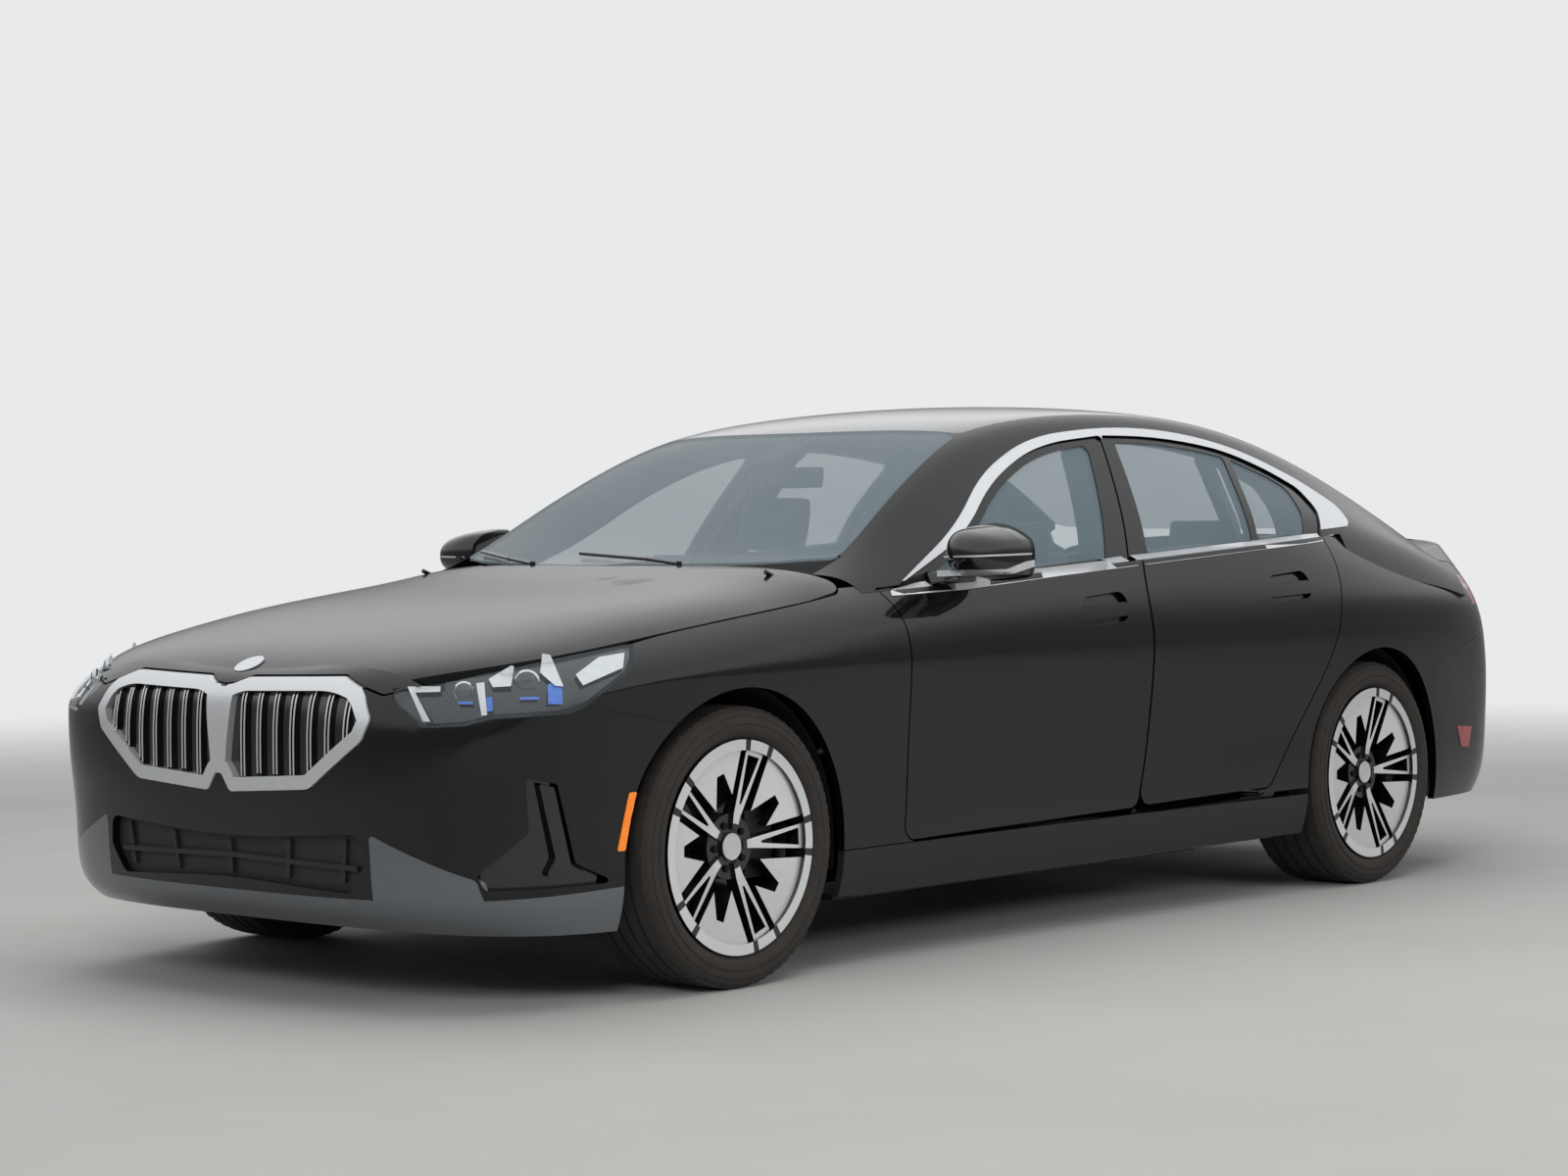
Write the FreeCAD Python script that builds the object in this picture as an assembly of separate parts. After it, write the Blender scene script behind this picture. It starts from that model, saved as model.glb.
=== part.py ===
"""A four-door saloon car as an assembly of separate panels, glass, wheels and running gear.

The frame: origin on the ground under the middle of the car, +X towards the tail, +Y to the car's
right, +Z up. Lengths are millimetres. Body forms are written on the car's body grid: table values
count grid steps along each axis, and a step is the overall size divided by its number of steps.
"""
import FreeCAD, Part
import math
import os

from FreeCAD import Vector

# Overall sizes of the car
LENGTH = 5060.0
WIDTH = 1900.0
HEIGHT = 1515.0
WHEELBASE = 2995.0
FRONT_OVERHANG = 900.0

# Steps of the body grid along each overall size
LENGTH_GRID_SHARE = 50.6
WIDTH_GRID_SHARE = 19.0
HEIGHT_GRID_SHARE = 15.15
GX = LENGTH / LENGTH_GRID_SHARE
GY = WIDTH / WIDTH_GRID_SHARE
GZ = HEIGHT / HEIGHT_GRID_SHARE

# Sheet, glass and gap sizes
SHUT_GAP = 5.0
PANEL = 22.0
DOOR_THICKNESS = 72.0
FRAME_OUT = -6.0
FRAME_IN = -32.0
PILLAR_OUT = -58.0
PILLAR_IN = -95.0
TRIM_OUT = 2.0
GLASS_OUT = -9.0
GLASS_IN = -14.0
SCREEN_THICKNESS = 6.0
SEAT_GAP = 0.3
OVERRUN = 60.0

# Wheels
FRONT_AXLE_X = -LENGTH / 2 + FRONT_OVERHANG
REAR_AXLE_X = FRONT_AXLE_X + WHEELBASE
TYRE_RADIUS = 352.0
FRONT_TYRE_WIDTH = 245.0
REAR_TYRE_WIDTH = 275.0
FRONT_WHEEL_Y = 806.0
REAR_WHEEL_Y = 794.0
ARCH_RADIUS = 398.0

CUBIC = 3

NOSE_REACH, TAIL_REACH = 15, 16
SECTION_SHARES = [
    (8.98, 1.80), (9.24, 2.45), (9.30, 3.35), (9.28, 5.00), (9.42, 6.70), (9.56, 7.90), (9.54, 8.60),
]
SIDE_X_SHARES = [-20.2, -18.2, -16.0, -13.6, -11.2, -8.0, -4.0, 0.0, 4.0, 7.5, 10.5, 13.0, 15.5, 17.8, 19.6]
SIDE_WIDTH_SHARES = [
    0.975, 0.990, 0.995, 0.992, 0.985, 0.980, 0.978, 0.979, 0.984, 0.995, 1.005, 1.012, 1.006, 0.990, 0.965,
]
SHOULDER_Z_SHARES = [7.6, 7.9, 8.1, 8.2, 8.3, 8.4, 8.5, 8.55, 8.6, 8.6, 8.65, 8.75, 8.8, 8.85, 8.85]
FENDER_Y_SHARES = [9.05, 9.12, 9.15, 9.16, 9.18, 9.18, 9.18, 9.18, 9.2, 9.28, 9.42, 9.45, 9.35, 9.15, 8.85]
FENDER_Z_SHARES = [8.3, 8.7, 9.0, 9.25, 9.4, 9.45, 9.55, 9.65, 9.75, 9.8, 9.8, 9.8, 9.75, 9.65, 9.5]
EDGE_Y_SHARES = [7.35, 7.65, 7.85, 8.0, 8.2, 8.72, 8.74, 8.76, 8.78, 8.8, 8.7, 8.4, 8.0, 7.5, 7.1]
EDGE_Z_SHARES = [8.95, 9.25, 9.5, 9.75, 9.85, 10.0, 10.3, 10.55, 10.8, 10.95, 11.1, 11.05, 10.85, 10.6, 10.42]
NOSE_SHARES = [
    (-24.32, 1.9), (-24.92, 2.2), (-25.05, 3.0), (-25.08, 4.1), (-25.24, 5.0), (-25.24, 6.1), (-25.24, 7.1),
    (-24.9, 7.8), (-24.3, 8.15),
]
NOSE_PLAN_SHARES = [(0.0, 0.0), (0.02, 2.8), (0.24, 5.4), (0.85, 7.5), (2.3, 8.85)]
NOSE_BLEND_SHARES = [0.0, 0.0, 0.08, 0.25, 0.6]
TAIL_SHARES = [
    (24.0, 2.3), (24.8, 2.8), (25.2, 3.5), (25.31, 4.6), (25.31, 5.8), (25.05, 7.0), (24.7, 8.3),
    (24.6, 9.7), (24.9, 10.9),
]
TAIL_PLAN_SHARES = [(0.0, 0.0), (0.02, 2.7), (0.3, 5.1), (1.15, 7.15), (2.85, 8.6)]
TAIL_BLEND_SHARES = [0.0, 0.0, 0.06, 0.2, 0.55]
NOSE_BROW_SHARES = [
    (-25.15, 0.0, 7.9), (-25.0, 2.8, 7.98), (-24.6, 5.1, 7.95), (-23.6, 7.1, 8.0), (-22.1, 8.15, 8.2),
]
NOSE_TOP_SHARES = [
    (-24.2, 0.0, 8.12), (-24.15, 2.6, 8.18), (-23.8, 4.9, 8.34), (-22.7, 6.4, 8.55), (-21.5, 7.1, 8.75),
]
TAIL_BROW_SHARES = [
    (24.65, 0.0, 9.9), (24.6, 2.8, 9.9), (24.3, 5.2, 9.85), (23.4, 7.0, 9.75), (21.7, 8.0, 9.7),
]
TAIL_TOP_SHARES = [
    (24.95, 0.0, 10.95), (24.9, 2.6, 10.93), (24.6, 4.7, 10.85), (23.5, 6.2, 10.65), (21.6, 6.75, 10.5),
]
GREENHOUSE_SHARES = [
    [
        (-10.55, 8.80, 9.00), (-8.70, 8.80, 9.00), (-6.00, 8.80, 9.05), (-3.50, 8.76, 9.15),
        (-1.10, 8.72, 9.25), (1.10, 8.70, 9.35), (3.90, 8.70, 9.45), (7.00, 8.74, 9.55),
        (10.30, 8.84, 9.65), (13.40, 9.05, 9.75), (16.20, 9.20, 9.60), (18.30, 9.20, 9.30),
        (19.70, 9.15, 9.00),
    ],
    [
        (-10.60, 8.72, 9.30), (-8.80, 8.68, 9.70), (-6.20, 8.62, 10.0), (-3.60, 8.52, 10.3),
        (-1.20, 8.45, 10.55), (1.00, 8.42, 10.72), (3.80, 8.42, 10.90), (7.00, 8.46, 11.05),
        (10.30, 8.56, 11.15), (13.40, 8.75, 11.00), (16.20, 8.90, 10.50), (18.30, 8.95, 10.05),
        (19.70, 8.90, 9.65),
    ],
    [
        (-10.65, 8.58, 9.55), (-9.00, 8.45, 10.05), (-6.50, 8.25, 10.85), (-4.00, 7.92, 11.65),
        (-1.70, 7.62, 12.30), (0.60, 7.45, 12.65), (3.60, 7.38, 12.82), (7.00, 7.40, 12.80),
        (10.40, 7.55, 12.48), (13.50, 7.85, 11.85), (16.30, 8.20, 11.05), (18.40, 8.40, 10.45),
        (19.80, 8.45, 10.00),
    ],
    [
        (-10.75, 8.35, 9.85), (-9.30, 8.08, 10.35), (-7.00, 7.65, 11.50), (-4.80, 7.12, 12.65),
        (-2.50, 6.68, 13.60), (0.00, 6.50, 14.12), (3.30, 6.45, 14.32), (7.00, 6.45, 14.24),
        (10.50, 6.55, 13.75), (13.70, 6.80, 12.85), (16.50, 7.15, 11.80), (18.50, 7.45, 10.95),
        (19.90, 7.65, 10.35),
    ],
    [
        (-10.90, 8.00, 10.08), (-9.60, 7.70, 10.55), (-7.60, 7.20, 11.80), (-5.40, 6.65, 13.00),
        (-3.00, 6.25, 14.00), (-0.20, 6.10, 14.52), (3.20, 6.05, 14.75), (7.00, 6.05, 14.68),
        (10.60, 6.10, 14.25), (13.80, 6.30, 13.40), (16.60, 6.60, 12.35), (18.60, 6.90, 11.40),
        (20.00, 7.10, 10.70),
    ],
    [
        (-11.20, 7.35, 10.25), (-9.90, 7.00, 10.75), (-7.85, 6.50, 12.05), (-5.65, 5.95, 13.25),
        (-3.30, 5.60, 14.18), (-0.50, 5.45, 14.68), (3.00, 5.40, 14.92), (7.00, 5.40, 14.86),
        (10.65, 5.45, 14.46), (13.85, 5.60, 13.65), (16.65, 5.85, 12.60), (18.70, 6.05, 11.65),
        (20.10, 6.20, 10.90),
    ],
    [
        (-12.30, 4.00, 10.22), (-10.80, 3.90, 10.70), (-8.40, 3.70, 12.03), (-6.00, 3.50, 13.28),
        (-3.70, 3.30, 14.28), (-0.80, 3.20, 14.85), (2.90, 3.15, 15.11), (7.00, 3.15, 15.06),
        (10.70, 3.20, 14.64), (13.95, 3.25, 13.87), (16.75, 3.35, 12.80), (18.78, 3.45, 11.83),
        (20.22, 3.50, 11.05),
    ],
    [
        (-12.90, 0.00, 10.10), (-11.20, 0.00, 10.55), (-8.70, 0.00, 11.85), (-6.20, 0.00, 13.15),
        (-3.85, 0.00, 14.28), (-1.00, 0.00, 14.92), (2.80, 0.00, 15.20), (7.00, 0.00, 15.16),
        (10.80, 0.00, 14.72), (14.00, 0.00, 13.95), (16.80, 0.00, 12.88), (18.80, 0.00, 11.90),
        (20.30, 0.00, 11.10),
    ],
]
SMOOTH = 30.0
BELT_RISE_SHARE = 0.0593
BELT_Z_SHARE = 10.33
FRONT_DOOR_SHARES = [
    (-9.80, 3.18, 0.4), (-9.67, 4.60), (-9.67, 6.20), (-9.70, 7.40), (-9.80, 8.80), (-10.18, 9.78, 0.1),
    (-9.20, 9.84, 0.3), (-5.75, 11.14), (-3.55, 12.62), (-1.40, 13.47), (0.20, 13.82), (2.66, 14.05, 0.1),
    (1.51, 10.55, 0.8), (1.24, 9.60), (1.31, 8.48), (1.39, 6.80), (1.28, 5.10), (0.82, 3.32, 0.4),
]
REAR_DOOR_SHARES = [
    (0.90, 3.34, 0.4), (1.36, 5.10), (1.47, 6.80), (1.39, 8.48), (1.32, 9.60), (1.59, 10.55, 0.8),
    (2.74, 14.05, 0.1), (5.00, 14.06), (7.30, 13.90), (9.30, 13.62), (11.20, 13.02), (12.25, 12.52, 0.5),
    (12.42, 11.90, 0.4), (11.70, 11.05, 0.3), (11.62, 10.10), (11.30, 9.25), (11.10, 8.25), (10.60, 7.20),
    (9.82, 6.12), (8.58, 4.68), (7.58, 3.46, 0.5),
]
TRIM_OUTLINE_SHARES = [
    (-9.75, 9.66, 0.1), (-5.95, 11.42), (-3.72, 12.92), (-1.50, 13.76), (0.10, 14.10), (2.66, 14.33),
    (5.00, 14.37), (7.50, 14.20), (10.30, 13.72), (13.00, 12.76), (14.25, 11.98), (14.00, 11.50, 0.3),
    (13.10, 11.10, 0.1),
]
FRONT_WINDOW_SHARES = [
    (-8.35, 9.95, 0.1), (-5.60, 10.98), (-3.45, 12.42), (-1.35, 13.27), (0.25, 13.62), (1.86, 13.80, 0.2),
    (0.43, 10.47, 0.1),
]
REAR_WINDOW_SHARES = [
    (2.53, 10.60, 0.1), (3.28, 13.88, 0.2), (5.00, 13.89), (7.30, 13.72), (8.87, 13.51, 0.1), (8.40, 12.20),
    (8.08, 10.93, 0.1),
]
QUARTER_WINDOW_SHARES = [
    (8.42, 10.95, 0.1), (8.76, 12.20), (9.22, 13.44, 0.1), (11.00, 12.88), (11.62, 12.55, 0.3),
    (11.55, 11.90), (10.95, 11.10, 0.1),
]
UP_SHARES = (-30.0, 30.0)
HALF_Y = WIDTH * 0.7
EDGE_THICKNESS = 4.0
EDGE_RELIEF = 20.0
JAMB_RELIEF = 27.0
JAMB_BAND = 60.0
JAMB_OUT = -PANEL - SEAT_GAP
SEAM = 0.8
HEAL = 0.001
JAMB_IN = -120.0
SIDE_FIRST, SIDE_LAST = 5, 22
HINGE_Y_SHARE = 8.85
FRONT_HINGE_X_SHARE = -9.05
REAR_HINGE_X_SHARE = 2.05
HINGE_Z_SHARES = [5.2, 7.9]
PIN_RADIUS = 5.0
EYE_RADIUS = 11.0
EYE_GAP = 0.05
EYE_HEIGHT = 44.0
POCKET_GAP = 6.0
ARM_THICKNESS = 10.0
POST_FACE_SHARE = 7.83
HANDLE_DEPTH = 16.0
HANDLE_BAR_INSET_SHARE = 0.2
HANDLE_SHARES = [(0.0, 0.28), (0.15, 0.85), (2.1, 1.0), (2.34, 0.62), (2.2, 0.16), (0.3, 0.0)]
FRONT_HANDLE_SHARES = (-2.05, 8.55)
REAR_HANDLE_SHARES = (7.45, 9.0)
MIRROR_X_SHARES = (-8.35, -6.35)
MIRROR_SECTION_SHARES = [
    (0.0, 0.5, 10.3, 10.85), (0.12, 0.78, 10.14, 11.15), (0.4, 0.96, 10.02, 11.42),
    (1.0, 1.02, 9.98, 11.5),
]
MIRROR_Y_SHARE = 9.9
MIRROR_CORNER_SHARE = 0.22
MIRROR_ARM_SHARES = (-8.2, -7.5, 8.45, 9.9, 9.85, 10.25)
SCREEN_SHARES = [
    (-11.75, 0.0), (-11.6, 2.8), (-11.15, 5.2), (-10.15, 7.15, 0.5), (-3.05, 5.75, 0.5), (-3.5, 3.0),
    (-3.7, 0.0),
]
ROOF_SHARES = [
    (-3.7, 0.0), (-3.5, 3.0), (-3.05, 5.75, 0.3), (3.0, 5.82), (7.0, 5.80), (10.7, 5.72, 0.3),
    (11.3, 3.0), (11.5, 0.0),
]
REAR_SCREEN_SHARES = [
    (11.5, 0.0), (11.3, 3.0), (10.7, 5.72, 0.5), (15.0, 6.2), (18.7, 6.75, 0.8), (19.5, 4.5),
    (19.9, 0.0),
]
REAR_SPLIT_X_SHARE = 12.9
FENDER_SHARES = [(-24.0, 1.0), (-5.0, 1.0), (-5.0, 10.4), (-24.0, 10.4)]
NOSE_REGION_SHARES = [
    (-30.0, 1.0), (-18.6, 1.0), (-18.6, 6.70), (-20.33, 7.03), (-21.1, 7.14), (-21.35, 7.5),
    (-22.2, 8.3), (-30.0, 8.3),
]
TAIL_REGION_SHARES = [(17.3, 2.4), (17.3, 6.9), (21.2, 7.7), (30.0, 7.9), (30.0, 2.4)]
BONNET_SHARES = [
    (-26.5, 0.0), (-26.5, 8.37), (-19.39, 8.37), (-16.9, 8.52), (-14.6, 8.56), (-12.7, 8.50),
    (-11.2, 8.35, 0.6), (-11.7, 5.2), (-12.15, 2.8), (-12.3, 0.0),
]
BONNET_FRONT_SHARES = [
    (0.0, 7.74), (0.35, 7.78), (0.80, 7.95), (3.9, 8.02), (4.75, 7.74), (5.35, 7.58), (6.70, 7.91),
    (7.59, 8.22), (8.10, 8.51), (8.38, 8.70), (9.8, 8.9), (9.8, 14.0), (0.0, 14.0),
]
QUARTER_SHARES = [(7.0, 3.3), (26.0, 3.3), (26.0, 14.6), (7.0, 14.6)]
BOOT_SHARES = [
    (20.1, 0.0), (19.75, 4.5), (19.0, 7.30, 0.8), (20.8, 7.35), (22.6, 7.15), (24.2, 6.66), (27.0, 6.62),
    (27.0, 0.0),
]
BOOT_RAIL_Z_SHARE = 9.9
DECK_GAP_SHARES = [(18.3, 0.0, 0.1), (18.3, 6.95, 0.1), (19.2, 7.36, 0.1), (26.0, 7.36, 0.1), (26.0, 0.0, 0.1)]
COWL_SPACE_SHARES = (-14.0, -10.0, -7.2, 7.2, 8.0, 12.0)
POST_IN_SHARE = 7.3
FRONT_POST_SHARES = (-10.5, -8.4, 2.4, 9.75, 0.0)
MIDDLE_POST_SHARES = (-0.1, 2.5, 2.4, 10.6, 0.15)
SILL_BEAM_SHARES = (-11.0, 9.2, 7.3, 8.25, 1.75, 3.05)
SWEEP_LOW_RADIUS = 128.0
SWEEP_HIGH_RADIUS = 168.0
SWEEP_SHOULDER_SHARES = (9.0, 10.0)
SWEEP_LOW_SHARES = (3.1, 4.6)
SWEEP_HIGH_SHARES = (9.0, 10.6)
PILLAR_FOOT_SHARE = -10.82
SKIRT_SPACE_SHARES = (-12.4, 9.8, 0.0, 12.0, 0.0, 3.13)
HEADLAMP_CORNER_SHARES = (-23.4, 7.9)
HEADLAMP_OUTLINE_SHARES = [
    (-2.42, 7.40, 0.1), (-1.74, 6.82, 0.2), (-0.70, 6.88), (-0.10, 7.04), (1.73, 7.11),
    (2.08, 7.24, 0.2), (3.10, 7.99, 0.3), (3.25, 8.27, 0.1), (3.25, 8.90, 0.1), (2.10, 8.75),
    (0.58, 8.45), (-0.92, 8.15), (-2.55, 7.95, 0.05),
]
TAIL_LAMP_X_SHARE = 20.7
TAIL_LAMP_SHARES = [
    (3.6, 8.65, 0.1), (6.2, 8.6), (9.8, 8.75, 0.1), (9.8, 9.75, 0.1), (6.2, 9.6), (3.6, 9.42, 0.1),
]
BONNET_LIP_SHARES = (-24.65, -24.25, 5.5)
BONNET_STATION_SHARES = [
    (-23.6, 8.42, -23.2, 6.85), (-22.5, 8.73, -22.0, 7.65), (-20.8, 9.10, -20.3, 8.14),
    (-18.4, 9.52, -18.0, 8.44), (-15.6, 9.90, -15.2, 8.54), (-13.4, 10.22, -12.9, 8.50),
    (-11.9, 10.50, -11.0, 8.36),
]
BONNET_CROWN_SHARES = [1.0, 1.0, 0.985, 0.95, 0.87, 0.66, 0.0]
CROWN_SHARES = [1.0, 0.97, 0.86, 0.62, 0.0]
BONNET_LAP_SHARE = 0.12
LIP_DROP = 4.0
BOOT_STATION_SHARES = [(19.7, 11.12, 18.4), (20.6, 11.05, 19.8), (21.9, 10.97, 21.2), (23.2, 10.92, 22.6)]
LIP_REACH_SHARE = 3.4
KIDNEY_SHARES = [
    (0.0, 7.66), (0.14, 7.66, 0.1), (0.70, 8.2, 0.1), (4.05, 8.2, 0.2), (4.86, 7.54, 0.3),
    (5.22, 6.99, 0.2), (4.98, 6.47, 0.3), (3.27, 5.27, 0.6), (0.42, 5.10, 0.2), (0.12, 5.54, 0.1),
    (0.0, 5.54),
]
CENTRE_BAR_SHARES = [(0.0, 4.0), (0.22, 4.0), (0.24, 5.6), (0.52, 7.6), (0.52, 9.0), (0.0, 9.0)]
BROW_DROP_SHARE = 0.38
KIDNEY_RIM = 34.0
KIDNEY_PROUD = 6.0
LOWER_INTAKE_SHARES = [(0.0, 3.00), (4.30, 2.80, 0.3), (4.85, 3.5, 0.3), (4.75, 4.25, 0.3), (0.0, 3.95)]
NOSE_BACK_X_SHARE = -18.0
GRILLE_DEPTH = 14.0
BAR_COUNT = 7
BAR_WIDTH = 5.5
BAR_PAIR_GAP = 6.0
FIRST_BAR_SHARE = 0.85
BAR_PITCH_SHARE = 0.595
BAR_PROUD = 10.0
VANE_Y_SHARES = [-4.0, -2.1, 0.0, 2.1, 4.0]
VANE_WIDTH = 6.0
LIP_BAND_SHARES = [
    (-30.0, 0.0), (-16.0, 0.0), (-16.0, 2.9), (-20.2, 2.9), (-24.0, 2.75), (-25.0, 2.66), (-30.0, 2.66),
]
CORNER_PANEL_SHARES = [
    (5.02, 4.27, 0.1), (5.02, 2.6, 0.1), (7.77, 2.6, 0.1), (7.64, 3.24, 0.2), (5.54, 4.05, 0.2),
]
POCKET_SHARES = [
    (0.67, 5.62, 0.1), (1.41, 5.47, 0.1), (1.82, 3.56, 0.2), (2.30, 3.30, 0.1), (2.80, 3.02, 0.1),
    (-0.29, 3.0, 0.1), (-0.50, 3.35, 0.1), (0.74, 4.33, 0.1),
]
BLADE_SHARES = [
    (0.98, 5.50, 0.05), (1.34, 5.38, 0.05), (1.72, 3.52, 0.2), (2.16, 3.26, 0.1), (1.1, 3.24, 0.1),
    (1.36, 3.69, 0.2),
]
POCKET_FLOOR = 8.0
LOWER_BAR_Z_SHARE = 3.45
LAMP_DEPTH = 35.0
BOOT_FACE_SHARES = [(0.0, 7.55), (5.2, 7.6, 0.5), (6.3, 8.3), (6.6, 9.6), (6.62, 12.0), (0.0, 12.0)]
TAIL_FRONT_X_SHARE = 22.0
DIFFUSER_SHARES = [(17.9, 2.0), (22.6, 2.0), (24.9, 2.9), (24.9, 3.3), (23.2, 3.4), (17.9, 2.92)]
SKIRT_SHARES = (-12.3, 9.7, 0.0, 12.0, 1.9, 3.10)
RIM_RADIUS = 268.0
RIM_SEAT_RADIUS = 250.0
RIM_WALL = 9.0
RIM_WELL_RADIUS = 222.0
FLANGE_WIDTH = 12.0
HUB_RADIUS = 82.0
HUB_FACE_INSET = 42.0
RIM_FACE_INSET = 12.0
SPOKE_DEPTH = 26.0
DISC_RADIUS = 182.0
DISC_THICKNESS = 30.0
DISC_PLACE = -18.0
STUB_RADIUS = 26.0
STUB_GAP = 0.05
TYRE_SHOULDER = 22.0
BEAD_GAP = 0.3
LIP_SHARE = 0.94
FORKS = 5
FORK_TURN = 74.5
FORK_SHARES = [(0.17, -0.034), (1.05, -0.137), (1.05, 0.137), (0.17, 0.034)]
FORK_HOLE_SHARES = [(0.43, -0.012), (0.92, -0.088), (0.92, 0.088), (0.43, 0.012)]
VANE_TURN = 36.0
VANE_SHARES = [
    (1.15, -24.5), (1.25, 0.0), (1.15, 24.5), (0.435, 12.5), (0.76, 0.5), (0.76, -7.5), (0.52, -19.0),
]
WEB_SHARES = [(0.2, -60.0), (0.56, -19.5), (0.62, -14.0), (0.60, 6.5), (0.47, 13.0), (0.2, 60.0)]
WEB_STEP = 9.0
CAP_RADIUS = 36.0
STUB_LENGTH = 60.0
UPRIGHT_HALF = 60.0
UPRIGHT_RISE = 130.0
UPRIGHT_THICKNESS = 44.0
CALIPER_THICKNESS = 90.0
STEER_AXIS_Y_SHARE = 7.55
PIN_SOCKET_DEPTH = 36.0
CALIPER_WALL = 22.0
PIN_BALL_RADIUS = 14.0
ARM_RADIUS = 16.0
STRUT_RADIUS = 30.0
STRUT_TOP_SHARE = 7.545
PIN_DEPTH_SHARE = 0.3
FLOOR_OUTLINE_SHARES = [
    (-12.9, 3.3), (-11.9, 2.05), (8.3, 2.05), (9.6, 3.4), (10.9, 4.6), (16.6, 4.6), (17.6, 2.9),
    (22.8, 3.37), (23.0, 3.57), (17.8, 3.1), (16.8, 4.8), (10.8, 4.8), (9.4, 3.6), (8.2, 2.25),
    (-11.8, 2.25), (-12.7, 3.4), (-12.7, 9.3), (-12.9, 9.3),
]
FLOOR_HALF_SHARE = 7.3
FRONT_TUB_SHARE = 4.6
REAR_TUB_SHARE = 6.1
BATTERY_SHARES = (-9.8, 7.4, -6.6, 6.6, 1.42, 2.05)
DRIVE_SHARES = (11.0, 16.2, -2.6, 2.6, 2.9, 4.6)
RAIL_SHARES = (-24.0, -12.9, 3.9, 4.5, 4.2, 5.4)
BEAM_SHARES = (-24.3, -24.0, -6.0, 6.0, 4.1, 5.3)
RADIATOR_SHARES = (-23.5, -23.2, -5.8, 5.8, 2.8, 6.9)
TOWER_SHARES = (-17.4, -15.2, 3.9, 6.3, 7.623, 8.0)
TOWER_WALL_SHARES = (-17.4, -15.2, 3.9, 4.5, 5.4, 7.623)
WELL_TOP_SHARE = 7.7
LINER_WALL = 6.0
LINER_RADIUS = 404.0
LINER_WINDOW_SHARE = 1.8
LINER_WINDOW_TOP_SHARE = 5.7
LINER_OUT_SHARE = 8.7
LINER_BASE_SHARE = 2.6
BAY_SHARES = [(-23.2, 6.9), (-21.5, 7.9), (-12.9, 9.05), (-12.9, 8.65), (-21.5, 7.5), (-23.2, 6.5)]
LUG_WALL = 8.0
COWL_SHARES = [(-12.7, 9.4), (-12.5, 9.6), (-10.2, 9.75), (-10.2, 9.6), (-12.4, 9.3), (-12.7, 9.0)]
DASH_SHARES = [
    (-11.6, 8.5), (-10.0, 9.0), (-9.3, 9.4), (-8.2, 9.3), (-7.9, 8.5), (-8.4, 6.9), (-9.6, 6.2),
    (-11.4, 5.2), (-12.0, 6.0), (-12.7, 7.0), (-12.7, 8.5),
]
CONSOLE_SHARES = [(-10.4, 2.25), (-9.6, 6.8), (-7.6, 6.4), (-4.6, 5.9), (-1.6, 6.1), (-1.2, 5.7), (-1.2, 2.25)]
WHEEL_RING_RADIUS = 172.0
WHEEL_GRIP_RADIUS = 15.0
WHEEL_HUB_RADIUS = 62.0
WHEEL_HUB_DEPTH = 28.0
WHEEL_SPOKE_WIDTH = 38.0
WHEEL_COLUMN_RADIUS = 28.0
WHEEL_COLUMN_LENGTH = 190.0
WHEEL_TILT = 24.0
STEERING_SHARES = (-6.9, -3.7, 8.75)
SEAT_HALF_SHARE = 2.6
SEAT_Y_SHARE = 3.7
SEAT_BASE_SHARES = [(-6.9, 4.2), (-6.7, 5.15), (-2.0, 4.9), (-1.9, 4.0), (-2.2, 3.6), (-6.6, 3.7)]
SEAT_BACK_SHARES = [(-2.9, 4.6), (-1.2, 10.4), (-0.3, 10.5), (-0.1, 10.0), (-1.3, 4.3), (-2.2, 4.0)]
HEADREST_SHARES = [(-0.95, 10.7), (-0.6, 12.3), (0.15, 12.4), (0.3, 11.9), (-0.1, 10.75)]
SEAT_RAIL_SHARES = (-6.2, -2.4, 2.25, 3.9)
BENCH_SHARES = [
    (4.2, 3.4), (4.2, 5.1), (8.6, 4.75), (9.3, 5.4), (11.6, 10.2), (12.6, 10.2), (12.6, 9.7),
    (10.9, 4.95), (9.3, 3.8), (8.2, 2.25), (4.4, 2.25),
]
BENCH_HALF_SHARE = 6.0
SHELF_SHARES = [(12.603, 9.8), (12.603, 10.1), (19.4, 10.55), (20.4, 10.45), (20.4, 10.25), (19.4, 10.3)]
SHELF_HALF_SHARE = 6.0
BOOT_AXIS_SHARES = (17.0, 10.3)
BOOT_ARM_WIDTH = 14.0
BOOT_ARM_SHARES = [(17.0, 10.3), (17.15, 8.4), (18.2, 6.95), (19.8, 7.3), (20.9, 8.8), (21.1, 10.55)]
BONNET_AXIS_SHARES = (-10.85, 9.95)
BONNET_ARM_SHARES = [(-10.85, 9.95), (-11.45, 9.93), (-12.4, 10.28)]
BONNET_ARM_Y_SHARE = 6.6
BONNET_ARM_WIDTH = 12.0
LUG_SHARES = [(-11.1, 9.65), (-10.6, 9.65), (-10.72, 10.07), (-10.98, 10.07)]
WIPER_SHARES = [[(-11.85, -3.0), (-11.6, -1.6), (-11.2, 1.4)], [(-11.9, 2.6), (-11.35, 4.1), (-10.35, 6.3)]]
WIPER_LIFT = 12.0
WIPER_POST_RADIUS = 8.0
WIPER_POST_HEAD = 7.0
WIPER_KNUCKLE_RADIUS = 6.5


def V(x, y, z):
    """A point or a direction."""
    return Vector(x, y, z)


def grid(point):
    """A point of the body grid in millimetres."""
    x, y, z = point
    return Vector(x * GX, y * GY, z * GZ)


def knots_of(count, degree):
    """Knots and multiplicities of a clamped uniform spline with that many poles."""
    spans = count - degree
    knots = [float(k) for k in range(spans + 1)]
    inner = [1] * (spans - 1)
    return knots, [degree + 1, *inner, degree + 1]


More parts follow.
